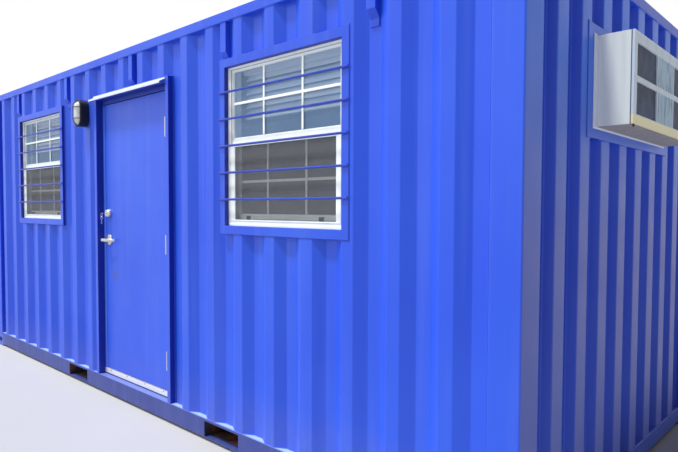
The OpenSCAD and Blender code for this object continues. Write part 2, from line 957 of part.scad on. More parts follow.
// Frame halves of the butt hinges, with their pins
module hinge_frame_halves() {
    color(steel)
        placed() {
            hinge_half([0, 2, 4], frame_x1 - plate_t, frame_x1);
            for (z = hinge_zs)
                translate([hinge_x, hinge_y, z - 3])
                    cylinder(r = pin_r, h = hinge_h + 6);
            for (z = hinge_zs)
                for (end_z = [z - 3, z + hinge_h])
                    translate([hinge_x, hinge_y, end_z])
                        cylinder(r = knuckle_r - 1, h = 3);
        }
}

module hinge_door_halves() {
    color(steel)
        placed()
            hinge_half([1, 3], leaf_x1, leaf_x1 + plate_t);
}

spindle_r = 6;
spindle_clearance = 1;
lever_z = leaf_z + lever_h;
deadbolt_z = leaf_z + deadbolt_h;

// Flush steel leaf, bored for the lever's spindle
module door_leaf() {
    color(paint)
        placed()
            difference() {
                block([leaf_x, leaf_y, leaf_z], [leaf_x1, leaf_back_y, leaf_z1]);
                translate([lock_x, leaf_y - 1, lever_z])
                    rotate([-90, 0, 0])
                        cylinder(r = spindle_r + spindle_clearance, h = leaf_t + 2);
            }
}

// A round plate on the leaf's face, standing out by t
module face_plate(z, d, t) {
    translate([lock_x, leaf_y, z])
        rotate([90, 0, 0])
            cylinder(d = d, h = t);
}

// The same piece on the inner face of the leaf
module on_both_faces() {
    children();
    translate([0, leaf_y + leaf_back_y, 0])
        mirror([0, 1, 0])
            children();
}

rose_t = 12;

module lever_roses() {
    color(steel)
        placed()
            on_both_faces()
                difference() {
                    face_plate(lever_z, rose_d, rose_t);
                    translate([0, 1, 0])
                        face_plate(lever_z, 2 * (spindle_r + spindle_clearance), rose_t + 2);
                }
}

// Ring and key cylinder of the deadbolt, with a thumb turn inside
module deadbolt() {
    color(steel)
        placed() {
            on_both_faces()
                face_plate(deadbolt_z, deadbolt_d, 14);
            face_plate(deadbolt_z, deadbolt_d - 10, deadbolt_t);
            face_plate(deadbolt_z, 24, deadbolt_t + 3);
            translate([0, leaf_y + leaf_back_y, 0])
                mirror([0, 1, 0])
                    translate([lock_x - 5, leaf_y - 34, deadbolt_z - 18])
                        cube([10, 34, 36]);
        }
}

// A lever on each face, on one spindle
module lever_handle() {
    neck_r = 10;
    neck_l = 46;
    arm_h = 20;
    arm_t = 13;
    stand_off = 0.5;
    color(steel)
        placed() {
            translate([lock_x, leaf_y - rose_t - 2, lever_z])
                rotate([-90, 0, 0])
                    cylinder(r = spindle_r, h = leaf_t + 2 * rose_t + 4);
            on_both_faces()
                translate([lock_x, leaf_y - rose_t - stand_off, lever_z]) {
                    rotate([90, 0, 0])
                        cylinder(r = neck_r, h = neck_l);
                    translate([0, -neck_l, -arm_h / 2])
                        cube([lever_l - arm_h / 2, arm_t, arm_h]);
                    translate([lever_l - arm_h / 2, -neck_l + arm_t, 0])
                        rotate([90, 0, 0])
                            cylinder(d = arm_h, h = arm_t);
                }
        }
}

// Oval body of the lamp on the wall sheet
module lamp_base() {
    color("#1c1c1e")
        placed()
            translate([lamp_x, side_face_y, lamp_z])
                rotate([90, 0, 0])
                    rotate([0, 0, 90])
                        linear_extrude(lamp_body_d)
                            stadium(lamp_h, lamp_w);
}

// Keeps what stands out of the lamp's body
module before_lamp_body() {
    intersection() {
        translate([lamp_x, lamp_axis_y, lamp_z])
            children();
        block([lamp_x - lamp_w, lamp_front_y - 1, lamp_z - lamp_h], [lamp_x + lamp_w, lamp_face_y, lamp_z + lamp_h]);
    }
}

// Long round glass cover
module lamp_glass() {
    color("#f2f2ee")
        placed()
            before_lamp_body() {
                cylinder(r = lamp_glass_r, h = hoop_gap, center = true);
                for (s = [-1, 1])
                    translate([0, 0, s * hoop_gap / 2])
                        sphere(r = lamp_glass_r);
            }
}

// A ring of the guard's wire round the Z axis
module wire_ring() {
    rotate_extrude()
        translate([hoop_r, 0])
            circle(d = wire_d);
}

// Guard of two hoops and an upright bar, bent round the glass
module lamp_guard() {
    color("#1c1c1e")
        placed()
            before_lamp_body() {
                translate([0, -hoop_r, 0])
                    cylinder(d = wire_d, h = hoop_gap, center = true);
                for (s = [-1, 1])
                    translate([0, 0, s * hoop_gap / 2]) {
                        wire_ring();
                        intersection() {
                            rotate([0, 90, 0])
                                wire_ring();
                            block([-wire_d, -lamp_w, s < 0 ? -lamp_w : 0], [wire_d, 0, s < 0 ? 0 : lamp_w]);
                        }
                    }
            }
}

// Steel frame welded round the air conditioner
module unit_surround() {
    half = ac_half + ac_frame_side;
    color(paint)
        placed()
            difference() {
                block([lining_x, -half, ac_z - ac_frame_top], [end_x, half, ac_z1 + ac_frame_top]);
                block([lining_x - 1, -ac_half, ac_z], [end_x + 1, ac_half, ac_z1]);
            }
}

ac_rear_t = 12;

// Sleeve through the wall with its flange on the steel frame
module unit_cabinet() {
    color(white)
        placed() {
            block([end_x - ac_inside, -ac_half, ac_z], [end_x + ac_reach - ac_rear_t, ac_half, ac_z1]);
            block([end_x, -ac_half - flange_side, ac_z - flange_top],
                [end_x + flange_t, ac_half + flange_side, ac_z1 + flange_top]);
        }
}

// Frame on the outer face, with its two rows of openings
module unit_rear_frame() {
    back_t = 2;
    x0 = end_x + ac_reach - ac_rear_t;
    x1 = end_x + ac_reach;
    z0 = ac_z + face_foot;
    row_h = (ac_h - face_foot - face_top - face_mid) / 2;
    louvre_y0 = -ac_half + face_edge + pane_w + face_bar;
    panes = [[-ac_half + face_edge, louvre_y0 - face_bar], [louvre_y0, louvre_y0 + louvre_w],
        [louvre_y0 + louvre_w + face_bar, ac_half - face_edge]];
    color(white)
        placed()
            difference() {
                block([x0, -ac_half, ac_z], [x1, ac_half, ac_z1]);
                for (row = [0, 1])
                    for (pane = panes)
                        translate([x0 + back_t, pane[0], z0 + row * (row_h + face_mid)])
                            cube([ac_rear_t, pane[1] - pane[0], row_h]);
            }
}

corner_castings();
corner_posts();
bottom_side_rails();
bottom_end_rails();
top_side_rails();
top_end_rails();
crossmembers();
forklift_pockets();
floor_deck();
floor_covering();
front_wall_left();
front_wall_between();
front_wall_middle();
front_wall_right();
front_wall_by_windows();
front_wall_over_door();
back_wall();
left_end_wall();
right_end_wall_sides();
right_end_wall_by_unit();
roof_panel();
roof_end_plates();
top_rail_brackets();
front_lining();
back_lining();
left_end_lining();
right_end_lining();
ceiling_lining();
window_surrounds();
window_frames();
window_sashes();
window_glass();
screen_frames();
burglar_bars();
door_surround();
door_frame();
threshold();
drip_cap();
hinge_frame_halves();
door_leaf();
hinge_door_halves();
lever_roses();
deadbolt();
lever_handle();
lamp_base();
lamp_glass();
lamp_guard();
unit_surround();
unit_cabinet();
unit_rear_frame();
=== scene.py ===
import json
import math

import bmesh
import bpy
from mathutils import Matrix, Vector


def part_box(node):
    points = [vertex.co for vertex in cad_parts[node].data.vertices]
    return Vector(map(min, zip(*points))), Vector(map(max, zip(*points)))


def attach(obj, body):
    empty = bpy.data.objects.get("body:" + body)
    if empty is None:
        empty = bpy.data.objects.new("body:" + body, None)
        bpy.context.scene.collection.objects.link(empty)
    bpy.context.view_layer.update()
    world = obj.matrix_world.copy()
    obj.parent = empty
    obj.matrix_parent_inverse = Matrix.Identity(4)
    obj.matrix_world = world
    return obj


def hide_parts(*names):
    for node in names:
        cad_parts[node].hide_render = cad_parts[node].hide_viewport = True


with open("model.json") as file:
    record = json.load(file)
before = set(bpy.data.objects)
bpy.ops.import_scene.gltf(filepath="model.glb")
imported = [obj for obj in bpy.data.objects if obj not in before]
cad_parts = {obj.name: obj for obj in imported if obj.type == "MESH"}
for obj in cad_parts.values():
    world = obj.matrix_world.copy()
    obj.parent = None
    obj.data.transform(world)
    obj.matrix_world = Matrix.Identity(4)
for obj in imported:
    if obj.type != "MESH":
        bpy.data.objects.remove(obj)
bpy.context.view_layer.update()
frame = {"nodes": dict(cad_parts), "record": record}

# The camera stands off the right-hand front corner, a little under eye level, where the photo's stood.
# Its lens and place were fitted to the folds, rails and posts of a container of standard size.
casting_low, casting_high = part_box("corner_castings")
middle = Vector(((casting_low.x + casting_high.x) / 2, (casting_low.y + casting_high.y) / 2, 0))
# How far it is turned left, up and about its own line of sight, in radians
yaw, pitch, roll = 0.7160, -0.0385, 0.0058
# The lens and the middle of its picture, in pixels of the photo
photo_width, photo_height = 678, 452
focal_length, centre_x, centre_y = 584.58, 377.706, 232.176
film_width = 36
forward = Vector((-math.sin(yaw) * math.cos(pitch), math.cos(yaw) * math.cos(pitch), math.sin(pitch)))
rightward = Vector((math.cos(yaw), math.sin(yaw), 0))
turn = Matrix((rightward, rightward.cross(forward), -forward)).transposed() @ Matrix.Rotation(roll, 3, "Z")
camera = bpy.data.objects.new("camera", bpy.data.cameras.new("camera"))
camera.data.sensor_width = film_width
camera.data.lens = film_width * focal_length / photo_width
camera.data.shift_x = (photo_width / 2 - centre_x) / photo_width
camera.data.shift_y = (centre_y - photo_height / 2) / photo_width
camera.matrix_world = Matrix.Translation(middle + Vector((4.0525, -3.2218, 1.4397))) @ turn.to_4x4()
bpy.context.scene.collection.objects.link(camera)
bpy.context.scene.camera = camera


# Studio: a pale level floor, a white surround, a high lamp and a broad one, both on the left of the front.
def linear(text):
    """A colour written as sRGB hex, turned to the linear values that a socket takes."""
    parts = [int(text[i:i + 2], 16) / 255 for i in (1, 3, 5)]
    return [p / 12.92 if p <= 0.04045 else ((p + 0.055) / 1.055) ** 2.4 for p in parts] + [1.0]


def add(tree, kind, inputs=(), **settings):
    """Adds a node with its settings, and gives each input a value or a link."""
    node = tree.nodes.new(kind)
    for name, value in settings.items():
        setattr(node, name, value)
    for name, value in dict(inputs).items():
        if isinstance(value, bpy.types.NodeSocket):
            tree.links.new(value, node.inputs[name])
        else:
            node.inputs[name].default_value = value
    return node


def start_finish(name, **values):
    """A new material with its shader, which gets the values, and the place of each point on the object."""
    material = bpy.data.materials.new(name)
    material.use_nodes = True
    tree = material.node_tree
    tree.nodes.clear()
    shader = add(tree, "ShaderNodeBsdfPrincipled", {k.replace("_", " "): v for k, v in values.items()})
    add(tree, "ShaderNodeOutputMaterial", {"Surface": shader.outputs[0]})
    place = add(tree, "ShaderNodeTexCoord").outputs["Object"]
    return material, tree, shader, place


def mottled(name, dark, pale, scale, detail=2, drawn_out=(1, 1, 1), span=(0, 1), dulled=(), relief=(),
            **values):
    """A finish of two tones in mottles, so many to the metre, which may be drawn out along an axis.

    Dulled gives the roughness of each tone. Relief gives the grains to the metre, their detail, their
    depth in millimetres and their strength."""
    finish, tree, shader, place = start_finish(name, **values)
    spread = add(tree, "ShaderNodeMapping", {"Vector": place, "Scale": drawn_out}).outputs[0]
    mottle = add(tree, "ShaderNodeTexNoise", {"Vector": spread, "Scale": scale, "Detail": detail}).outputs[0]
    share = add(tree, "ShaderNodeMapRange",
                {"Value": mottle, "From Min": span[0], "From Max": span[1]}).outputs[0]
    tint = add(tree, "ShaderNodeMix", {0: share, 6: linear(dark), 7: linear(pale)}, data_type="RGBA")
    tree.links.new(tint.outputs[2], shader.inputs["Base Color"])
    if dulled:
        dull = add(tree, "ShaderNodeMapRange", {"Value": share, "To Min": dulled[0], "To Max": dulled[1]})
        tree.links.new(dull.outputs[0], shader.inputs["Roughness"])
    if relief:
        grains = add(tree, "ShaderNodeTexNoise", {"Vector": place, "Scale": relief[0], "Detail": relief[1]})
        raised = add(tree, "ShaderNodeBump",
                     {"Height": grains.outputs[0], "Distance": relief[2] / 1000, "Strength": relief[3]})
        tree.links.new(raised.outputs[0], shader.inputs["Normal"])
    return finish


# Smooth pale concrete screed: nearly even, with faint mottling and a dull surface
floor_finish = mottled("pale_screed", "#BEBEBC", "#C4C4C3", 1.3, 3, Roughness=0.9)
bm = bmesh.new()
bmesh.ops.create_grid(bm, x_segments=1, y_segments=1, size=40, matrix=Matrix.Translation((0, 0, -0.001)))
floor_mesh = bpy.data.meshes.new("floor")
bm.to_mesh(floor_mesh)
bm.free()
floor_mesh.materials.append(floor_finish)
studio_floor = bpy.data.objects.new("studio_floor", floor_mesh)
bpy.context.scene.collection.objects.link(studio_floor)

world = bpy.data.worlds.new("studio")
bpy.context.scene.world = world
world.use_nodes = True
tree = world.node_tree
tree.nodes.clear()
# The surround is white where it is seen, mirrored or looked through, and dim where it lights the object
rays = add(tree, "ShaderNodeLightPath")
shown = add(tree, "ShaderNodeMath", {0: rays.outputs["Is Camera Ray"], 1: rays.outputs["Is Glossy Ray"]},
            operation="MAXIMUM")
shown = add(tree, "ShaderNodeMath", {0: shown.outputs[0], 1: rays.outputs["Is Transmission Ray"]},
            operation="MAXIMUM")
level = add(tree, "ShaderNodeMapRange", {"Value": shown.outputs[0], "To Min": 0.12, "To Max": 1.0})
surround = add(tree, "ShaderNodeBackground", {"Color": linear("#FFFFFF"), "Strength": level.outputs[0]})
add(tree, "ShaderNodeOutputWorld", {"Surface": surround.outputs[0]})

# Each lamp's energy, the degrees that it spreads, and its degrees left of the front and above the floor
for name, energy, spread, azimuth, height in (("key_lamp", 2.9, 7, 20, 69), ("broad_lamp", 2.7, 80, 48, 24)):
    lamp = bpy.data.objects.new(name, bpy.data.lights.new(name, "SUN"))
    lamp.data.energy = energy
    lamp.data.angle = math.radians(spread)
    azimuth, height = math.radians(azimuth), math.radians(height)
    level_off = math.cos(height)
    toward = Vector((-math.sin(azimuth) * level_off, -math.cos(azimuth) * level_off, math.sin(height)))
    lamp.rotation_euler = toward.to_track_quat("Z", "Y").to_euler()
    lamp.visible_glossy = name == "key_lamp"
    bpy.context.scene.collection.objects.link(lamp)


# Corner castings, posts and rails: the container's frame, of cast and folded steel welded together.
# The eight castings are sand cast; the posts and the bottom rails are pressed from 4.5 and 6 mm plate.
# All of it is sprayed with the same bright blue enamel after welding.
def parts_of(finish):
    """The finish's node tree, its shader and its place on the object."""
    nodes = finish.node_tree.nodes
    return (finish.node_tree, next(node for node in nodes if node.type == "BSDF_PRINCIPLED"),
            next(node for node in nodes if node.type == "TEX_COORD").outputs["Object"])


def overpaint(finish, colour, *masks):
    """Lays another colour over a finish where all the masks, sockets of its tree, are above nought."""
    tree, shader, place = parts_of(finish)
    mask = masks[0]
    for other in masks[1:]:
        mask = add(tree, "ShaderNodeMath", {0: mask, 1: other}, operation="MULTIPLY").outputs[0]
    painted = shader.inputs["Base Color"].links[0].from_socket
    mixed = add(tree, "ShaderNodeMix", {0: mask, 6: painted, 7: linear(colour)}, data_type="RGBA")
    tree.links.new(mixed.outputs[2], shader.inputs["Base Color"])


def zone(finish, axis, start, full, centre=None, normals=False):
    """A mask that rises from start to full with the place along an axis, or with the faces' normals.

    With a centre it rises with the distance from there, to both sides."""
    tree, shader, vector = parts_of(finish)
    if normals:
        vector = add(tree, "ShaderNodeNewGeometry").outputs["Normal"]
    value = add(tree, "ShaderNodeSeparateXYZ", {"Vector": vector}).outputs[axis]
    if centre is not None:
        value = add(tree, "ShaderNodeMath", {0: value, 1: centre}, operation="SUBTRACT").outputs[0]
        value = add(tree, "ShaderNodeMath", {0: value}, operation="ABSOLUTE").outputs[0]
    return add(tree, "ShaderNodeMapRange", {"Value": value, "From Min": start, "From Max": full}).outputs[0]


def stained(finish, colour, per_metre, start, full, detail=3, most=1.0):
    """Stains of another colour, with so many to the metre along each axis."""
    tree, shader, place = parts_of(finish)
    drawn_out = add(tree, "ShaderNodeMapping", {"Vector": place, "Scale": per_metre}).outputs[0]
    runs = add(tree, "ShaderNodeTexNoise", {"Vector": drawn_out, "Scale": 1, "Detail": detail}).outputs[0]
    share = add(tree, "ShaderNodeMapRange",
                {"Value": runs, "From Min": start, "From Max": full, "To Max": most})
    overpaint(finish, colour, share.outputs[0])


def enamel(name, grain_mm, grain_depth_mm, dent_mm, dust=0.48, blues=("#1D4ED8", "#2858DE")):
    """Sprayed enamel on steel: the grain is its orange peel, or what lies under the paint."""
    # Sun-faded patches about a metre across
    finish = mottled(name, *blues, 1.1, span=(0.35, 0.7), IOR=1.5)
    # Rain has run down the sheets in dull streaks, a few centimetres wide
    stained(finish, "#6F88DC", (14, 14, 0.5), 0.52, 0.8, most=0.16)
    # Dust that splashes up from the ground over the lowest 0.4 m
    tree, shader, place = parts_of(finish)
    splashes = add(tree, "ShaderNodeTexNoise", {"Vector": place, "Scale": 17, "Detail": 5})
    dusty = add(tree, "ShaderNodeMath", {0: zone(finish, "Z", 0.42, 0.02), 1: splashes.outputs[0]},
                operation="MULTIPLY")
    dusty = add(tree, "ShaderNodeMath", {0: dusty.outputs[0], 1: dust}, operation="MULTIPLY")
    overpaint(finish, "#8A8A96", dusty.outputs[0])
    # Gloss that varies over about 15 cm and is lost where the dust is
    gloss = add(tree, "ShaderNodeTexNoise", {"Vector": place, "Scale": 6, "Detail": 4})
    dull = add(tree, "ShaderNodeMapRange", {"Value": gloss.outputs[0], "To Min": 0.34, "To Max": 0.52})
    dull = add(tree, "ShaderNodeMath", {0: dull.outputs[0], 1: dusty.outputs[0]}, operation="ADD")
    tree.links.new(dull.outputs[0], shader.inputs["Roughness"])
    # Shallow dents and the grain of the paint
    dents = add(tree, "ShaderNodeTexNoise", {"Vector": place, "Scale": 2.6, "Detail": 1})
    uneven = add(tree, "ShaderNodeBump",
               {"Height": dents.outputs[0], "Distance": dent_mm / 1000, "Strength": 1.0})
    grain = add(tree, "ShaderNodeTexNoise", {"Vector": place, "Scale": 1000 / grain_mm, "Detail": 2})
    rough = add(tree, "ShaderNodeBump", {"Height": grain.outputs[0], "Distance": grain_depth_mm / 1000,
                                         "Strength": 0.5, "Normal": uneven.outputs[0]})
    tree.links.new(rough.outputs[0], shader.inputs["Normal"])
    return finish


def chalk_and_reflection_on_ends(finish):
    """Paints a paler, greyer coat on the faces that stand furthest out on the two ends: a painted reflection
    of a bright surround seen at a grazing angle, with some chalking by grit blown along the road.
    """
    faces = (zone(finish, "X", 3.010, 3.022, centre=middle.x),
             zone(finish, "X", 0.7, 0.95, centre=0, normals=True))
    overpaint(finish, "#6071D8", *faces)
    # Higher up, from 1.3 to 2.1 m, there is less of that painted reflection and these faces are bluer
    overpaint(finish, "#3A76F6", *faces, zone(finish, "Z", 1.3, 2.1))


# Orange peel about 3 mm across on plate that lies nearly true
plate_enamel = enamel("blue_enamel_on_plate", 3, 0.12, 1.5)
# The same paint over the rough skin of a sand casting
cast_enamel = enamel("blue_enamel_on_castings", 6, 0.8, 1.0, dust=0.72)

# The record's material slot of each node
slots = {row["node"]: row["material_slot"] for row in frame["record"]["subparts"]}


def settle(bm, name, finish, slot, *nodes, body="container", drawn=True):
    """Makes a piece of a mesh, which stands for the nodes. A drawn one is in millimetres about the middle."""
    if drawn:
        bm.transform(Matrix.Translation(middle) @ Matrix.Scale(0.001, 4))
        bmesh.ops.recalc_face_normals(bm, faces=bm.faces)
    mesh = bpy.data.meshes.new(name)
    bm.to_mesh(mesh)
    bm.free()
    for face in mesh.polygons:
        face.use_smooth = True
    mesh.set_sharp_from_angle(angle=math.radians(36))
    mesh.materials.append(finish)
    piece = bpy.data.objects.new(name, mesh)
    bpy.context.scene.collection.objects.link(piece)
    piece.modifiers.new("even_shading", "WEIGHTED_NORMAL").keep_sharp = True
    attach(piece, body)
    if nodes:
        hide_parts(*nodes)
    return piece


def breadth(face):
    """About how wide a face is, if it is a long one."""
    return 2 * face.calc_area() / sum(edge.calc_length() for edge in face.edges)


def dressed(node, finish, body="container", bend_mm=0.0, edge_mm=0.0, sharp=35):
    """A copy of a CAD node's own shape with the round of its bends and its broken edges."""
    bm = bmesh.new()
    bm.from_mesh(frame["nodes"][node].data)
    bmesh.ops.remove_doubles(bm, verts=bm.verts, dist=1e-5)
    bmesh.ops.dissolve_limit(bm, angle_limit=math.radians(0.5), verts=bm.verts, edges=bm.edges)
    for size, segments in ((bend_mm / 1000, 3), (edge_mm / 1000, 2)):
        if size:
            # Only edges between faces that are wide enough for the round
            corners = [edge for edge in bm.edges if edge.is_manifold
                       and edge.calc_face_angle() > math.radians(sharp)
                       and min(breadth(face) for face in edge.link_faces) > 2.2 * size]
            bmesh.ops.bevel(bm, geom=corners, offset=size, offset_type="OFFSET", segments=segments,
                            affect="EDGES", profile=0.5, material=-1, clamp_overlap=True)
    return settle(bm, node + "_piece", finish, slots[node], node, body=body, drawn=False)


dressed("corner_castings", cast_enamel, edge_mm=4)
# The posts are as smooth as the plate; where they face the ends they get the same paler coat, a painted
# reflection with some chalking
post_enamel = enamel("blue_enamel_on_posts", 3, 0.12, 1.5)
chalk_and_reflection_on_ends(post_enamel)
dressed("corner_posts", post_enamel, bend_mm=9, edge_mm=1)
# The long bottom rails are dull on their upright faces: road dirt, and painted shade that darkens them
# further
rail_enamel = enamel("blue_enamel_on_rails", 3, 0.15, 2.0, dust=0.192, blues=("#1E3286", "#283C90"))
# Their ledge under the wall is painted paler, a painted highlight of the light on its top, and palest in the
# recesses of the folds. In the doorway, its middle 71 mm left of the container's, the palest paint stops.
ledge_highlight = zone(rail_enamel, "Z", 0.1345, 0.1365)
overpaint(rail_enamel, "#6B7CC9", ledge_highlight)
overpaint(rail_enamel, "#A6C2FA", ledge_highlight, zone(rail_enamel, "Y", 1.216, 1.208, centre=middle.y),
          zone(rail_enamel, "X", 0.55, 0.56, centre=middle.x - 0.071))
dressed("bottom_side_rails", rail_enamel, bend_mm=7, edge_mm=1)
dressed("bottom_end_rails", plate_enamel, bend_mm=7, edge_mm=1)
dressed("top_side_rails", plate_enamel, bend_mm=6)
dressed("top_end_rails", plate_enamel, bend_mm=6)

# Wall sheets, roof and brackets: 2 mm steel pressed into deep folds, in lengths butt welded together.
# The folds stop the thin sheet from buckling, and each bend is a round of about 15 mm, not a sharp edge.
# The folded boxes under the top rail stiffen it where the openings were cut.

# The paint on thin sheet is as glossy as on plate, over broad shallow buckles
sheet_enamel = enamel("blue_enamel_on_sheet", 3, 0.1, 4.0)
for node in ("front_wall_left", "front_wall_between", "front_wall_middle", "front_wall_right",
             "front_wall_by_windows", "front_wall_over_door", "back_wall"):
    dressed(node, sheet_enamel, bend_mm=4, sharp=15)
end_enamel = enamel("blue_enamel_on_ends", 3, 0.1, 4.0)
# The ends' outer flats get the paler coat, a painted reflection with some chalking
chalk_and_reflection_on_ends(end_enamel)
for node in ("left_end_wall", "right_end_wall_sides", "right_end_wall_by_unit"):
    dressed(node, end_enamel, bend_mm=7, sharp=15)
dressed("roof_panel", sheet_enamel, bend_mm=4, sharp=15)
dressed("roof_end_plates", plate_enamel, edge_mm=1)
dressed("top_rail_brackets", plate_enamel, bend_mm=4, edge_mm=1, sharp=15)

# Underframe and floor: channel crossmembers and forklift tunnels under 28 mm plywood.
# The channels are pressed plate, coated with underseal; the ply is the usual dense red-brown shipping floor.
# A grey vinyl sheet is glued down over an underlay.

# Bitumen underseal: black-brown and dull, brushed on thick, with road dust stuck to it
underseal = mottled("bitumen_underseal", "#1B1E26", "#4A4744", 7, 6, span=(0.4, 0.75), dulled=(0.5, 0.9),
                    relief=(90, 3, 2, 0.6), IOR=1.6)


def paint(node, finish):
    """Gives a CAD node that keeps its own shape its finish."""
    mesh = frame["nodes"][node].data
    mesh.materials.clear()
    mesh.materials.append(finish)


dressed("crossmembers", underseal, bend_mm=5)
# In the pockets the tines have scraped the coat, and rust shows in patches as wide as a hand
pocket_coat = underseal.copy()
pocket_coat.name = "rusted_underseal"
stained(pocket_coat, "#7A4630", (8, 8, 8), 0.46, 0.58, detail=5)
dressed("forklift_pockets", pocket_coat, edge_mm=1)

# Shipping plywood: dense tropical veneer with dark pores drawn out along the grain, oiled dull
plywood, tree, shader, place = start_finish("shipping_plywood", Roughness=0.7)
drawn_out = add(tree, "ShaderNodeMapping", {"Vector": place, "Scale": (1.5, 38, 60)}).outputs[0]
grain = add(tree, "ShaderNodeTexNoise", {"Vector": drawn_out, "Scale": 1, "Detail": 6, "Roughness": 0.65})
brown = add(tree, "ShaderNodeMapRange", {"Value": grain.outputs[0], "From Min": 0.3, "From Max": 0.7})
tint = add(tree, "ShaderNodeMix", {0: brown.outputs[0], 6: linear("#6B4A2E"), 7: linear("#A67B4E")},
           data_type="RGBA")
tree.links.new(tint.outputs[2], shader.inputs["Base Color"])
pores = add(tree, "ShaderNodeBump", {"Height": grain.outputs[0], "Distance": 0.0006, "Strength": 0.6})
tree.links.new(pores.outputs[0], shader.inputs["Normal"])
# Its front cut edge, under the threshold's lip, is painted dark navy: painted shade of the gap there
overpaint(plywood, "#1E2238", zone(plywood, "Y", -1.1195, -1.1205))
paint("floor_deck", plywood)

# Sheet vinyl: a satin plastic skin with fine flecks a few millimetres long
sheet_vinyl, tree, shader, place = start_finish("sheet_vinyl", Roughness=0.42, IOR=1.5)
flecks = add(tree, "ShaderNodeTexVoronoi", {"Vector": place, "Scale": 220})
fleck = add(tree, "ShaderNodeMapRange", {"Value": flecks.outputs[0], "From Min": 0.1, "From Max": 0.6})
tint = add(tree, "ShaderNodeMix", {0: fleck.outputs[0], 6: linear("#6E7276"), 7: linear("#8F9396")},
           data_type="RGBA")
tree.links.new(tint.outputs[2], shader.inputs["Base Color"])
emboss = add(tree, "ShaderNodeBump", {"Height": flecks.outputs[0], "Distance": 0.0003, "Strength": 0.4})
tree.links.new(emboss.outputs[0], shader.inputs["Normal"])
paint("floor_covering", sheet_vinyl)

# Lining boards: painted fibre boards on studs, butted every 1.22 m, on all four walls and the ceiling.
# They show only through the door and the windows.

# Emulsion paint put on with a roller: a matt warm white with a fine stipple
wall_board = mottled("painted_board", "#D9D8D2", "#E5E4DF", 1.7, relief=(420, 2, 0.3, 0.5), Roughness=0.6,
                     IOR=1.46)
for node in ("front_lining", "back_lining", "left_end_lining", "right_end_lining", "ceiling_lining"):
    paint(node, wall_board)

# Weld beads: where sheets, posts, rails and tubes meet they are joined by one run of arc weld.
# A bead is a round ridge of a few millimetres, rippled by the arc and painted over.
bead_enamel = enamel("blue_enamel_on_welds", 5, 1.2, 0.5)


def fold(centres, mouth, floor, depth, low, high):
    """The outer line of a sheet with recesses from low to high, as distances along and inwards."""
    line = [spot for c in centres
            for spot in ((c - mouth, 0), (c - floor, depth), (c + floor, depth), (c + mouth, 0))]
    kept = []
    for (a, da), (b, db) in zip(line, line[1:]):
        if b <= low or a >= high:
            continue
        for end in (max(a, low), min(b, high)):
            kept.append((end, da + (db - da) * (end - a) / (b - a)))
    # A bend that two stretches share is kept once
    return [p for i, p in enumerate(kept) if i == 0 or abs(p[0] - kept[i - 1][0]) > 0.01]


# Recesses every 284.5 mm on the sides, the last ones 19 mm further on, and every 250 mm on the ends
side_centres = [-40 + k * 284.5 + (19 if k >= 7 else 0) for k in range(-12, 13)]
end_centres = [k * 250 for k in range(-6, 7)]


def side_fold(x0, x1):
    """A long side's sheet: recesses 211 mm wide at the mouth, 75 at the floor and 36 deep."""
    return fold(side_centres, 105.5, 37.5, 36, x0, x1)


def end_fold(y0, y1):
    """An end's sheet: recesses 140 mm wide at the mouth, 104 at the floor and 45.6 deep."""
    return fold(end_centres, 70, 52, 45.6, y0, y1)


def beads(name, runs, radius):
    """Round ridges along lines of points, in millimetres about the container's middle."""
    curve = bpy.data.curves.new(name, "CURVE")
    curve.dimensions = "3D"
    curve.bevel_depth = radius / 1000
    curve.bevel_resolution = 1
    curve.use_fill_caps = True
    for run in runs:
        spline = curve.splines.new("POLY")
        spline.points.add(len(run) - 1)
        for point, spot in zip(spline.points, run):
            point.co = (*(middle + Vector(spot) / 1000), 1)
    curve.materials.append(bead_enamel)
    piece = bpy.data.objects.new(name, curve)
    bpy.context.scene.collection.objects.link(piece)
    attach(piece, "container")


# The sheets' outer faces, the edges of rails, posts and castings that they meet, and the outer edges of
# the tubes round the windows, the doorway and the air conditioner
wall_y, end_x = 1214, 3024
rail_top, rail_foot = 138, 2524
post_x, post_y = 2881, 1065
casting_top, casting_foot = 119, 2473
window_xs = (-1780, 1597)
window_half, window_foot, window_head = 528, 1289, 2311
door_left, door_right = -628, 486
unit_half, unit_foot, unit_head = 618, 1773, 2291
runs = []
edges = sorted([-post_x, post_x, door_left, door_right,
                *(c + side * window_half for c in window_xs for side in (-1, 1))])
for x0, x1 in zip(edges[::2], edges[1::2]):
    runs += [[(x, d - wall_y, z) for x, d in side_fold(x0, x1)] for z in (rail_top, rail_foot)]
for c in window_xs:
    for z in (rail_top, window_foot, window_head, rail_foot):
        runs.append([(x, d - wall_y, z) for x, d in side_fold(c - window_half, c + window_half)])
for z in (window_head, rail_foot):
    runs.append([(x, d - wall_y, z) for x, d in side_fold(door_left, door_right)])
uprights = [(x, rail_top - 1 if x in (door_left, door_right) else window_foot + 2) for x in edges[1:-1]]
for x, foot in uprights:
    inward = side_fold(x - 2, x + 2)[0][1]
    runs.append([(x, inward - wall_y, foot), (x, inward - wall_y, window_head - 2)])
for z in (rail_top, rail_foot):
    runs.append([(x, wall_y - d, z) for x, d in side_fold(-post_x, post_x)])
for side in (-1, 1):
    for z in (casting_top, rail_foot):
        runs.append([(side * (end_x - d), y, z) for y, d in end_fold(-1057, 1057)])
    for x in (-post_x, post_x):
        runs.append([(x, side * wall_y, rail_top), (x, side * wall_y, casting_foot)])
    for y in (-post_y, post_y):
        runs.append([(side * end_x, y, casting_top), (side * end_x, y, casting_foot)])
for z in (unit_foot, unit_head):
    runs.append([(end_x - d, y, z) for y, d in end_fold(1 - unit_half, unit_half - 1)])
for y in (-unit_half, unit_half):
    runs.append([(end_x - 45.6, y, unit_foot + 1), (end_x - 45.6, y, unit_head - 1)])
beads("sheet_welds", runs, 3)

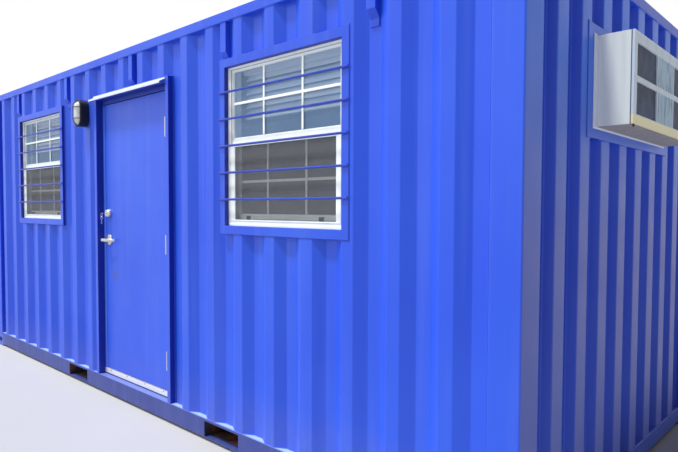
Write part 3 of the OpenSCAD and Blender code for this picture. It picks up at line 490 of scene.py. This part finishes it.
# Runs between the castings and the posts and rails
runs = []
for x in (-1, 1):
    for y in (-1, 1):
        for z in (casting_top, casting_foot - 1):
            runs.append([(x * post_x, y * 1216.5, z), (x * 3026, y * 1216.5, z)])
            runs.append([(x * 3026.5, y * 1216, z), (x * 3026.5, y * 1057, z)])
        for z0, z1 in ((20, casting_top - 1), (2527, 2583)):
            runs.append([(x * 2851, y * 1216.5, z0), (x * 2851, y * 1216.5, z1)])
beads("casting_welds", runs, 2.4)

# Seams of the roof sheets, one flat apart from another every 1.05 m
roof_pitch = 209
runs = [[((k * 5 + 0.5) * roof_pitch, side * 1158, 2584.5) for side in (-1, 1)] for k in range(-2, 3)]
runs += [[(-2850, side * 1159, 2585), (2850, side * 1159, 2585)] for side in (-1, 1)]
beads("roof_seams", runs, 2.2)

# Short welds that hold the brackets in the recesses
runs = []
for side in (-1, 1):
    for x in side_centres[4:21:4]:
        for edge in (-27.5, 27.5):
            runs.append([(x + edge, side * 1179, 2330), (x + edge, side * 1179, rail_foot - 2)])
        runs.append([(x - 26, side * wall_y, rail_foot), (x + 26, side * wall_y, rail_foot)])
beads("bracket_welds", runs, 2.2)


# Windows: two single-hung white vinyl windows, each in a welded frame of 50 mm steel tube.
# The tubes are blue; the hollow vinyl bars are mitred and welded, with a step on every frame and sash.
# Five round steel bars are welded across the face of each tube frame.
def block(bm, low, high):
    """A solid between two corners."""
    low, high = Vector(low), Vector(high)
    size = Matrix.Diagonal((*(high - low), 1))
    return bmesh.ops.create_cube(bm, size=1, matrix=Matrix.Translation((low + high) / 2) @ size)["verts"]


def mitred_frame(bm, low, high, widths, section):
    """A mitred frame: the section's points are (share of each member's width, place across the wall)."""
    side, foot, head = widths

    def corners(share, y):
        left, right = low[0] + side * share, high[0] - side * share
        below, above = low[1] + foot * share, high[1] - head * share
        return [Vector((x, y, z)) for x, z in ((left, below), (right, below), (right, above), (left, above))]

    first = [bm.verts.new(spot) for spot in corners(*section[0])]
    loop = [bm.edges.new((first[i], first[(i + 1) % 4])) for i in range(4)]
    opening = list(loop)
    for share, y in section[1:]:
        new = bmesh.ops.extrude_edge_only(bm, edges=loop)["geom"]
        verts = [part for part in new if isinstance(part, bmesh.types.BMVert)]
        loop = [part for part in new if isinstance(part, bmesh.types.BMEdge)
                and all(vert in verts for vert in part.verts)]
        spots = corners(share, y)
        for vert in verts:
            left = vert.co.x < (low[0] + high[0]) / 2
            below = vert.co.z < (low[1] + high[1]) / 2
            vert.co = spots[(0 if left else 1) if below else (3 if left else 2)]
    bmesh.ops.bridge_loops(bm, edges=opening + loop)


def broken_edges(bm, size):
    """Breaks every sharp edge of what is drawn so far."""
    edges = [edge for edge in bm.edges if edge.is_manifold and edge.calc_face_angle() > math.radians(30)]
    bmesh.ops.bevel(bm, geom=edges, offset=size, offset_type="OFFSET", segments=2, affect="EDGES",
                    profile=0.5, material=-1, clamp_overlap=True)


# The tubes and bars were painted last, from a can, and are a shade darker than the walls
tube_enamel = enamel("blue_enamel_on_tubes", 3, 0.15, 1.0, blues=("#1C4BD2", "#2656DA"))
# Their faces that look to the right or down are painted dark navy: painted shade
shaded_faces = add(tube_enamel.node_tree, "ShaderNodeMath",
             {0: zone(tube_enamel, "X", 0.6, 0.8, normals=True),
              1: zone(tube_enamel, "Z", -0.6, -0.8, normals=True)}, operation="MAXIMUM")
overpaint(tube_enamel, "#0A2A9E", shaded_faces.outputs[0])
bar_enamel = enamel("blue_enamel_on_bars", 3, 0.15, 0.5, blues=("#1C3CA8", "#2546B4"))
# The bars' ends that face right are painted paler: a painted highlight
overpaint(bar_enamel, "#6F8AF0", zone(bar_enamel, "X", 0.6, 0.8, normals=True))
dressed("window_surrounds", tube_enamel, bend_mm=3)
dressed("burglar_bars", bar_enamel, edge_mm=1.5)

# Extruded PVC: bright, slightly blue white with a satin skin and a little dust in faint mottles
white_vinyl = mottled("extruded_vinyl", "#F6FCFC", "#E8F0F0", 9, 5, span=(0.45, 0.8),
                      relief=(300, 2, 0.1, 0.3), Roughness=0.33, IOR=1.53)

window_z0, window_z1 = 1341, 2259
meeting_z0, meeting_z1 = 1807, 1853
sash_half = 451
bm = bmesh.new()
for c in window_xs:
    mitred_frame(bm, (c - 478, window_z0), (c + 478, window_z1), (27, 29, 14),
                 [(0, -1194), (0.42, -1194), (0.46, -1190), (1, -1190), (1, -1119), (0, -1119)])
broken_edges(bm, 1)
settle(bm, "window_frame_bars", white_vinyl, "white_vinyl", "window_frames")

bm = bmesh.new()
for c in window_xs:
    mitred_frame(bm, (c - sash_half, meeting_z0), (c + sash_half, window_z1 - 14), (17, 46, 14),
                 [(0, -1186), (0.6, -1186), (0.95, -1178), (1, -1176), (1, -1164), (0.8, -1162), (0, -1162)])
    mitred_frame(bm, (c - sash_half, window_z0 + 29), (c + sash_half, meeting_z1), (42, 42, 46),
                 [(0, -1159), (0.75, -1159), (0.95, -1151), (1, -1149), (1, -1137), (0.8, -1135), (0, -1135)])
    # Finger grip along the foot of the lower sash and the interlock of the meeting rails
    block(bm, (c - 380, -1167, 1383), (c + 380, -1159, 1387))
    block(bm, (c - sash_half + 2, -1162, meeting_z0 + 6), (c + sash_half - 2, -1159, meeting_z0 + 12))
broken_edges(bm, 0.8)
settle(bm, "window_sash_bars", white_vinyl, "white_vinyl", "window_sashes")

# Flat glazing bars on the panes, two upright and one across in each sash
bm = bmesh.new()
for c in window_xs:
    for y, z0, z1, across, half in ((-1178.5, meeting_z1 - 1, 2232, 2049, 435),
                                    (-1151.5, 1411, meeting_z0 + 1, 1597, 410)):
        for x in (c - 160, c + 160):
            block(bm, (x - 7.5, y - 4, z0), (x + 7.5, y + 2, z1))
        block(bm, (c - half, y - 4.4, across - 7.5), (c + half, y + 1.6, across + 7.5))
broken_edges(bm, 1.6)
settle(bm, "glazing_bars", white_vinyl, "white_vinyl")

# Woven pile seals in the gap round the sashes: grey, dull and fluffy
pile = mottled("grey_pile", "#A4AEBC", "#CCD4E0", 600, relief=(600, 2, 1, 0.8), Roughness=0.95)
bm = bmesh.new()
for c in window_xs:
    mitred_frame(bm, (c - sash_half - 2, window_z0 + 27), (c + sash_half + 2, window_z1 - 12), (5, 5, 5),
                 [(0, -1191.2), (0.5, -1191.8), (1, -1191.2), (1, -1184), (0, -1184)])
settle(bm, "pile_seals", pile, "white_vinyl")

# Screens: a white frame with a dark woven net before each lower sash
bm = bmesh.new()
for c in window_xs:
    mitred_frame(bm, (c - sash_half, window_z0 + 29), (c + sash_half, meeting_z0 - 1), (35, 7, 7),
                 [(0, -1193), (0.75, -1193), (0.8, -1191.5), (1, -1191), (1, -1186), (0, -1185)])
broken_edges(bm, 0.6)
settle(bm, "screen_frame_bars", white_vinyl, "white_vinyl", "screen_frames")

# Glass-fibre insect net: dark threads 1.6 mm apart, drawn 3 mm apart so that they don't vanish. It dulls
# what lies behind it.
insect_net = mottled("insect_net", "#686B70", "#868A90", 40, 3, Roughness=0.8)
tree, shader, place = parts_of(insect_net)
thread_gap = 0.003
threads = []
for direction in ("X", "Z"):
    # A wave of scale 1 has a crest every pi / 10 metres
    wave = add(tree, "ShaderNodeTexWave", {"Vector": place, "Scale": math.pi / 10 / thread_gap},
               bands_direction=direction, wave_profile="SIN")
    threads.append(add(tree, "ShaderNodeMapRange", {"Value": wave.outputs[1], "From Min": 0.6,
                                                   "From Max": 0.9, "To Max": 0.7}).outputs[0])
net = add(tree, "ShaderNodeMath", {0: threads[0], 1: threads[1]}, operation="MAXIMUM")
tree.links.new(net.outputs[0], shader.inputs["Alpha"])
bm = bmesh.new()
for c in window_xs:
    block(bm, (c - 417, -1188.4, 1376), (c + 417, -1188, 1800))
settle(bm, "insect_nets", insect_net, "white_vinyl")

# Float glass: reflective and faintly green-blue; its blue tint is a painted reflection of sky, and the lower
# panes are greyer, a painted reflection of the ground
float_glass = mottled("float_glass", "#78A2D4", "#9ABEE8", 5, 4, dulled=(0.02, 0.12), IOR=1.52, Alpha=0.26)
overpaint(float_glass, "#7C7F90", zone(float_glass, "Z", 1.81, 1.79))
paint("window_glass", float_glass)

# Slatted blinds, drawn halfway up: 50 mm slats on ladder cords, behind each upper sash. Their baked
# enamel is white and satin, with a film of dust.
blind_enamel = mottled("blind_slat_enamel", "#F0F5FA", "#FAFCFE", 14, 3, Roughness=0.4, IOR=1.5)
bm = bmesh.new()
for c in window_xs:
    block(bm, (c - 436, -1112, 2225), (c + 436, -1064, 2257))
    for step in range(6):
        z = 2208 - step * 39
        half = 25
        tilt = Matrix.Translation((c, -1087, z)) @ Matrix.Rotation(math.radians(52), 4, "X")
        slat = bmesh.ops.create_grid(bm, x_segments=1, y_segments=4, size=1,
                                     matrix=tilt @ Matrix.Diagonal((432, half, 1, 1)))["verts"]
        for vert in slat:
            across = (tilt.inverted() @ vert.co).y / half
            vert.co = tilt @ ((tilt.inverted() @ vert.co) + Vector((0, 0, 3 * (1 - across * across))))
        faces = {face for vert in slat for face in vert.link_faces}
        bmesh.ops.solidify(bm, geom=list(faces), thickness=0.5)
    block(bm, (c - 434, -1102, 1966), (c + 434, -1072, 1980))
    for x in (c - 330, c, c + 330):
        for y in (-1108, -1066):
            bmesh.ops.create_cone(bm, cap_ends=True, segments=6, radius1=0.9, radius2=0.9, depth=250,
                                  matrix=Matrix.Translation((x, y, 2100)))
settle(bm, "blinds", blind_enamel, "white_vinyl")

# Two latches on the foot of each lower sash, of moulded plastic: black and satin, with a fine speckle
black_plastic = mottled("moulded_black_plastic", "#17181A", "#2B2C2F", 500, Roughness=0.45, IOR=1.5)
bm = bmesh.new()
for c in window_xs:
    for x in (c - 324, c + 284):
        block(bm, (x - 14, -1169, 1376), (x + 14, -1158, 1399))
        block(bm, (x - 6, -1173, 1381), (x + 6, -1168, 1394))
broken_edges(bm, 1.5)
settle(bm, "sash_latches", black_plastic, "white_vinyl")

# Welds of the five bars' ends on the tubes, above and below each bar
runs = []
for c in window_xs:
    for i in range(5):
        z = 1804 + (i - 2) * 155
        for side in (-1, 1):
            runs.append([(c + side * 521, -1221, z + 7), (c + side * 486, -1221, z + 7)])
            runs.append([(c + side * 521, -1221, z - 7), (c + side * 486, -1221, z - 7)])
beads("bar_welds", runs, 2)


# Door: a flush steel leaf that opens outwards in a folded steel frame, inside a welded tube.
# Leaf and frame are folded from sheet and painted with the container; the threshold is bare aluminium.
# A white enamelled cap over it throws the rain clear.
def turned(bm, section, spot, steps):
    """Turns a section, pairs of radius and height, round the Z axis of a place."""
    verts = [bm.verts.new(spot @ Vector((r, 0, h))) for r, h in section]
    edges = [bm.edges.new(pair) for pair in zip(verts, verts[1:])]
    made = bmesh.ops.spin(bm, geom=verts + edges, cent=spot.translation, angle=2 * math.pi, steps=steps,
                          axis=spot.to_3x3() @ Vector((0, 0, 1)), use_merge=True)
    # The seam and the poles are closed over all that the spin has made
    reach = {vert for vert in verts if vert.is_valid}
    reach |= {part for part in made["geom_last"] if isinstance(part, bmesh.types.BMVert)}
    waiting = list(reach)
    while waiting:
        vert = waiting.pop()
        beside = {link.other_vert(vert) for link in vert.link_edges} - reach
        reach |= beside
        waiting += beside
    bmesh.ops.remove_doubles(bm, verts=list(reach), dist=0.005)


def facing(x, y, z, direction):
    """A place whose Z axis points along a direction."""
    return Matrix.Translation((x, y, z)) @ Vector(direction).to_track_quat("Z", "Y").to_matrix().to_4x4()


# The doorway's tube takes the same enamel, with painted shade on its faces that look right or down
dressed("door_surround", tube_enamel, bend_mm=3)
# The folded frame is painted a paler blue: a painted highlight of light catching its face
frame_enamel = enamel("blue_enamel_on_frame", 3, 0.08, 1.0, blues=("#4470EC", "#4E7AF2"))
# Its head is painted darker: the painted shadow of the rain cap
overpaint(frame_enamel, "#2442AC", zone(frame_enamel, "Z", 2.215, 2.235))
dressed("door_frame", frame_enamel, edge_mm=1.5)

# The same enamel on the leaf's flat skin, which shows it smoother, with a rubbed grey mark under the lock
leaf_enamel = enamel("blue_enamel_on_leaf", 3, 0.08, 2.5, dust=0.32)
tree, shader, place = parts_of(leaf_enamel)
away = add(tree, "ShaderNodeVectorMath", {0: place, 1: middle + Vector((-0.402, -1.169, 0.925))},
           operation="DISTANCE")
near = add(tree, "ShaderNodeMapRange",
           {"Value": away.outputs["Value"], "From Min": 0.065, "From Max": 0.015, "To Max": 0.4})
overpaint(leaf_enamel, "#4A4E68", near.outputs[0])
dressed("door_leaf", leaf_enamel, body="door", edge_mm=2)

# Mill-finished aluminium: grey and soft-shining, with fine lines from the extrusion and scuffs from shoes
mill_aluminium = mottled("mill_aluminium", "#E6E8EA", "#F8F9F9", 1, 3, drawn_out=(3, 500, 500), Metallic=0.5)
tree, shader, place = parts_of(mill_aluminium)
scuffs = add(tree, "ShaderNodeTexNoise", {"Vector": place, "Scale": 30, "Detail": 5})
dull = add(tree, "ShaderNodeMapRange", {"Value": scuffs.outputs[0], "To Min": 0.28, "To Max": 0.6})
tree.links.new(dull.outputs[0], shader.inputs["Roughness"])
dressed("threshold", mill_aluminium, edge_mm=0.8)
bm = bmesh.new()
for y in (-1160, -1152, -1144, -1136):
    block(bm, (-552, y, 181.4), (375, y + 3, 183))
broken_edges(bm, 0.5)
settle(bm, "threshold_ridges", mill_aluminium, "mill_aluminium")

# Enamelled steel of the rain cap: white and glossy, chalked a little by the sun
cap_enamel = mottled("white_enamel_on_cap", "#CFD9E2", "#DEE6EC", 12, 4, Roughness=0.35, IOR=1.5)
cap = dressed("drip_cap", cap_enamel, bend_mm=1)
# Its back flange stands 14 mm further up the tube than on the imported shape
for vert in cap.data.vertices:
    if vert.co.z > 2.275:
        vert.co.z += 0.014


def screw(bm, x, y, z, direction, radius=4):
    """A pan head with a hollow for the driver, on a surface that faces the direction."""
    spot = facing(x, y, z, direction)
    turned(bm, [(0, 0), (radius, 0), (radius, 0.25 * radius), (0.8 * radius, 0.5 * radius),
                (0.35 * radius, 0.62 * radius), (0, 0.35 * radius)], spot, 16)


# Screws in the threshold's lip, of blackened steel: dull and dark, worn to grey in specks
dark_steel = mottled("blackened_screw_steel", "#2A2A2C", "#55565A", 300, Metallic=1.0, Roughness=0.5)
bm = bmesh.new()
for x in (-480, -220, 50, 312):
    screw(bm, x, -1172, 174, (0, -1, 0))
settle(bm, "threshold_screws", dark_steel, "mill_aluminium")

# Hinges: three five-knuckle butt hinges of satin steel. One half is screwed into the edge of the leaf and
# the other into the frame, and a pin joins their knuckles.

# Satin chromed steel: bright neutral metal, brushed so that highlights spread
satin_steel = mottled("satin_chromed_steel", "#C4C5C6", "#E3E3E2", 1, drawn_out=(700, 700, 40),
                      dulled=(0.2, 0.38), Metallic=1.0)
dressed("hinge_frame_halves", satin_steel, edge_mm=0.5)
dressed("hinge_door_halves", satin_steel, body="door", edge_mm=0.5)

# Lock set: a lever on a round rose and a deadbolt above it, chromed castings on both faces of the leaf.
# The lever's end turns back towards the leaf so that sleeves don't catch.
# A key stands in the deadbolt with a ring and a second key hanging from it.
leaf_front, leaf_back = -1169, -1124
lock_x, lever_z, deadbolt_z = -485, 1195, 1400
bm = bmesh.new()
for y, out in ((leaf_front, (0, -1, 0)), (leaf_back, (0, 1, 0))):
    turned(bm, [(11, 0), (43, 0), (43, 6), (41, 9), (34, 11), (20, 12), (16, 12), (15, 11), (11, 11),
                (11, 0)], facing(lock_x, y, lever_z, out), 48)
settle(bm, "lever_rose_covers", satin_steel, "satin_steel", "lever_roses", body="door")

# Strike plate on the frame, beside the latch
bm = bmesh.new()
block(bm, (-557, -1170.4, lever_z - 46), (-548.6, -1168, lever_z + 46))
broken_edges(bm, 0.6)
settle(bm, "strike_plate", satin_steel, "satin_steel")

bm = bmesh.new()
turned(bm, [(0, 0), (32.5, 0), (32.5, 12), (31, 15), (27.5, 24), (25.5, 26), (14, 26), (13, 24.5), (12, 24.5),
            (12, 28), (10.5, 29), (0, 29)], facing(lock_x, leaf_front, deadbolt_z, (0, -1, 0)), 48)
turned(bm, [(0, 0), (32, 0), (32, 6), (30, 11), (25, 14), (12, 14), (11, 20), (0, 20)],
       facing(lock_x, leaf_back, deadbolt_z, (0, 1, 0)), 48)
thumb = block(bm, (lock_x - 5, leaf_back + 18, deadbolt_z - 18),
              (lock_x + 5, leaf_back + 34, deadbolt_z + 18))
edges = {edge for vert in thumb for edge in vert.link_edges}
bmesh.ops.bevel(bm, geom=list(edges), offset=3, segments=3, affect="EDGES", profile=0.5, material=-1)
settle(bm, "deadbolt_covers", satin_steel, "satin_steel", "deadbolt", body="door")


def lever(bm, y, out):
    """A lever from its neck along the leaf, turned back at its end."""
    turned(bm, [(0, 0), (10, 0), (10, 30), (12, 40), (12, 50), (9, 53), (0, 53)],
           facing(lock_x, y + out * 12.5, lever_z, (0, out, 0)), 32)
    route = [Vector(spot) for spot in ((-4, 57), (30, 58), (60, 58), (88, 55), (104, 48), (114, 36),
                                       (118, 20))]
    rings = []
    for i, spot in enumerate(route):
        along = (route[min(i + 1, 6)] - route[max(i - 1, 0)]).normalized()
        tall, thick = 12.5 - 0.25 * i, 7 - 0.35 * i
        place = Matrix(((0, -along.y * thick, along.x, lock_x + spot.x),
                        (0, out * along.x * thick, out * along.y, y + out * spot.y),
                        (tall, 0, 0, lever_z),
                        (0, 0, 0, 1)))
        verts = bmesh.ops.create_circle(bm, cap_ends=i in (0, 6), segments=16, radius=1,
                                        matrix=place)["verts"]
        rings.append({edge for vert in verts for edge in vert.link_edges})
    for one, other in zip(rings, rings[1:]):
        bmesh.ops.bridge_loops(bm, edges=list(one | other))


bm = bmesh.new()
lever(bm, leaf_front, -1)
lever(bm, leaf_back, 1)
bmesh.ops.create_cone(bm, cap_ends=True, segments=24, radius1=6, radius2=6, depth=69,
                      matrix=facing(lock_x, (leaf_front + leaf_back) / 2, lever_z, (0, 1, 0)))
settle(bm, "levers", satin_steel, "satin_steel", "lever_handle", body="lever")


def key(bm, spot):
    """A key with its bow at the place and its blade along the place's -Z, flat across its X."""
    turned(bm, [(4, -1.1), (11.5, -1.1), (12, 0), (11.5, 1.1), (4, 1.1), (4, -1.1)],
           spot @ Matrix.Rotation(math.pi / 2, 4, "Y"), 24)
    blade = block(bm, (-1, -4, -45), (1, 4, -11))
    for vert in blade:
        vert.co = spot @ vert.co


# The keys are stamped brass, plated to match the lock
bm = bmesh.new()
key(bm, facing(lock_x, leaf_front - 56, deadbolt_z, (0, -1, 0)) @ Matrix.Rotation(math.pi / 2, 4, "Z"))
ring_at = Vector((lock_x, leaf_front - 61, deadbolt_z - 14))
major, minor = 13, 1
section = [(major + minor * math.cos(a), minor * math.sin(a)) for a in [i * math.pi / 3 for i in range(7)]]
turned(bm, section, facing(*ring_at, (0, 1, 0)), 32)
key(bm, Matrix.Translation((lock_x, leaf_front - 60, deadbolt_z - 36)) @ Matrix.Rotation(0.12, 4, "Y"))
settle(bm, "keys", satin_steel, "satin_steel", body="door")

# Lamp: an oval bulkhead lamp of cast aluminium in black enamel, with an opal glass and a wire guard.
# Four screws hold the rim that clamps the glass; the guard's hoops are hooked into the rim.

# Enamel over a sand casting: black and half glossy, with the casting's grain under it
black_enamel = mottled("black_enamel", "#060708", "#141618", 260, 3, relief=(260, 3, 0.4, 0.6),
                       Roughness=0.4, IOR=1.5)
dressed("lamp_base", black_enamel, edge_mm=7)
dressed("lamp_guard", black_enamel)

# Opal glass: milky white all through, glossy outside
opal_glass = mottled("opal_glass", "#D9DCDD", "#F2F3F1", 25, Roughness=0.12, IOR=1.52)
dressed("lamp_glass", opal_glass)
lamp_x, lamp_z, lamp_front = -785, 2187, -1274
bm = bmesh.new()
turned(bm, [(50, 0), (63, 0), (63, 4), (61, 7), (57, 9), (53, 8), (50, 5), (50, 0)],
       facing(lamp_x, lamp_front, lamp_z, (0, -1, 0)) @ Matrix.Rotation(math.pi / 32, 4, "Z"), 32)
# The ring is drawn out to an oval with straight sides
for vert in bm.verts:
    vert.co.z += 44 if vert.co.z > lamp_z else -44
settle(bm, "lamp_rim", black_enamel, "black_enamel")
bm = bmesh.new()
for dx, dz in ((-57, 0), (57, 0), (0, -101), (0, 101)):
    screw(bm, lamp_x + dx, lamp_front - 8.6, lamp_z + dz, (0, -1, 0), 3.5)
settle(bm, "lamp_screws", dark_steel, "black_enamel")

# Air conditioner: a through-the-wall unit in a sheet-metal sleeve, in a welded steel frame on the end.
# The sleeve is enamelled steel, the face's frame moulded plastic, and the base pan zinc-coated steel.
# The outer face has finned coils behind its side openings and plastic louvres in the middle.

# Baked enamel of the sleeve and moulded plastic of the face's frame, a cooler white made bluer and darker as
# painted sky-lit shade: both are satin, with rain stains that have run down them
unit_enamel, face_plastic = (
    mottled(name, clean, dirty, 1, 4, drawn_out=(22, 22, 1.2), span=(0.45, 0.85), Roughness=0.45, IOR=1.5)
    for name, clean, dirty in (("baked_unit_enamel", "#F8FFF8", "#E4EEE6"),
                               ("moulded_face_plastic", "#DCEBFD", "#C4D2E4")))
# Dirt has gathered in the seam between the sleeve and the face
seam = middle.x + 3.1845
overpaint(unit_enamel, "#4A4F58", zone(unit_enamel, "X", seam - 0.001, seam))
# The flange against the wall is a separate strip of a cooler white
overpaint(unit_enamel, "#E4ECFF", zone(unit_enamel, "X", middle.x + 3.045, middle.x + 3.044))
# The foot of the face has yellowed in the sun
overpaint(face_plastic, "#FFF6CC", zone(face_plastic, "Z", 1.869, 1.866))
# The frame round the unit takes the posts' enamel, with the painted reflection on its faces that stand
# furthest out on the end
dressed("unit_surround", post_enamel, bend_mm=4)
dressed("unit_cabinet", unit_enamel, edge_mm=1.2)
dressed("unit_rear_frame", face_plastic, edge_mm=1.5)

# Dusty zinc-coated steel of the base pan: brown-grey and dull
pan_zinc = mottled("dirty_zinc", "#A39B94", "#C9C2BB", 20, 5, Metallic=0.1, Roughness=0.75)
bm = bmesh.new()
block(bm, (3036, -526, 1824), (3184, 526, 1828))
broken_edges(bm, 1)
settle(bm, "unit_base_pan", pan_zinc, "unit_enamel")

# Finned coil: aluminium fins 1.8 mm apart, drawn 5 mm apart, over a dark navy that is painted shade of the
# coil's depth; the fins are brighter in patches, a painted reflection
coil_fins, tree, shader, place = start_finish("finned_coil", Metallic=0.2, Roughness=0.6)
fin_gap = 0.005
fins = add(tree, "ShaderNodeTexWave", {"Vector": place, "Scale": math.pi / 10 / fin_gap, "Distortion": 0.3,
                                       "Detail": 2}, bands_direction="Y")
uneven = add(tree, "ShaderNodeTexNoise", {"Vector": place, "Scale": 14, "Detail": 4})
uneven = add(tree, "ShaderNodeMapRange", {"Value": uneven.outputs[0], "From Min": 0.35, "From Max": 0.65})
mixed = add(tree, "ShaderNodeMath", {0: fins.outputs[1], 1: uneven.outputs[0]}, operation="MULTIPLY")
tint = add(tree, "ShaderNodeMix", {0: mixed.outputs[0], 6: linear("#0F1A36"), 7: linear("#465C88")},
           data_type="RGBA")
tree.links.new(tint.outputs[2], shader.inputs["Base Color"])
ridge = add(tree, "ShaderNodeBump", {"Height": fins.outputs[1], "Distance": 0.001, "Strength": 0.6})
tree.links.new(ridge.outputs[0], shader.inputs["Normal"])
openings = [(-493.5, -193.5), (-181.5, 84.5), (96.5, 493.5)]
rows = [(1872, 2017), (2043, 2188)]
bm = bmesh.new()
for y0, y1 in (openings[0], openings[2]):
    for z0, z1 in rows:
        block(bm, (3190, y0 + 0.5, z0 + 0.5), (3192.5, y1 - 0.5, z1 - 0.5))
broken_edges(bm, 0.5)
settle(bm, "coil_faces", coil_fins, "unit_enamel")

# Moulded louvres: pale plastic, chalky from the sun, with a blue tint that is painted light of a blue sky
louvre_plastic = mottled("sunned_louvre_plastic", "#C6E4FF", "#E4F4FF", 35, 3, Roughness=0.5, IOR=1.5)
# Dirty water has run down it in thin streaks
stained(louvre_plastic, "#7896BE", (1, 120, 7), 0.5, 0.68, most=0.75)
bm = bmesh.new()
y0, y1 = openings[1]
for z0, z1 in rows:
    block(bm, (3190.2, y0 + 0.5, z0 + 0.5), (3191, y1 - 0.5, z1 - 0.5))
    for i in range(18):
        y = y0 + 8 + i * (y1 - y0 - 16) / 17
        slat = block(bm, (-4.5, -1, z0 + 0.5), (4.5, 1, z1 - 0.5))
        lean = Matrix.Translation((3195, y, 0)) @ Matrix.Rotation(math.radians(38), 4, "Z")
        for vert in slat:
            vert.co = lean @ vert.co
settle(bm, "unit_louvres", louvre_plastic, "unit_enamel")

# A black drain nipple at the left end of the foot, and the screws round the face
bm = bmesh.new()
turned(bm, [(0, 0), (5, 0), (5, 6), (3.5, 7), (3.5, 14), (0, 14)], facing(3194, -512, 1827, (0, 0, -1)), 16)
settle(bm, "drain_nipple", black_plastic, "black_enamel")
bm = bmesh.new()
for y in (-517, 0, 517):
    for z in (1850, 2030, 2215):
        if (y, z) != (0, 2030):
            screw(bm, 3197.8, y, z, (1, 0, 0), 3.2)
settle(bm, "unit_screws", satin_steel, "unit_enamel")

bpy.context.scene.view_settings.view_transform = "Standard"
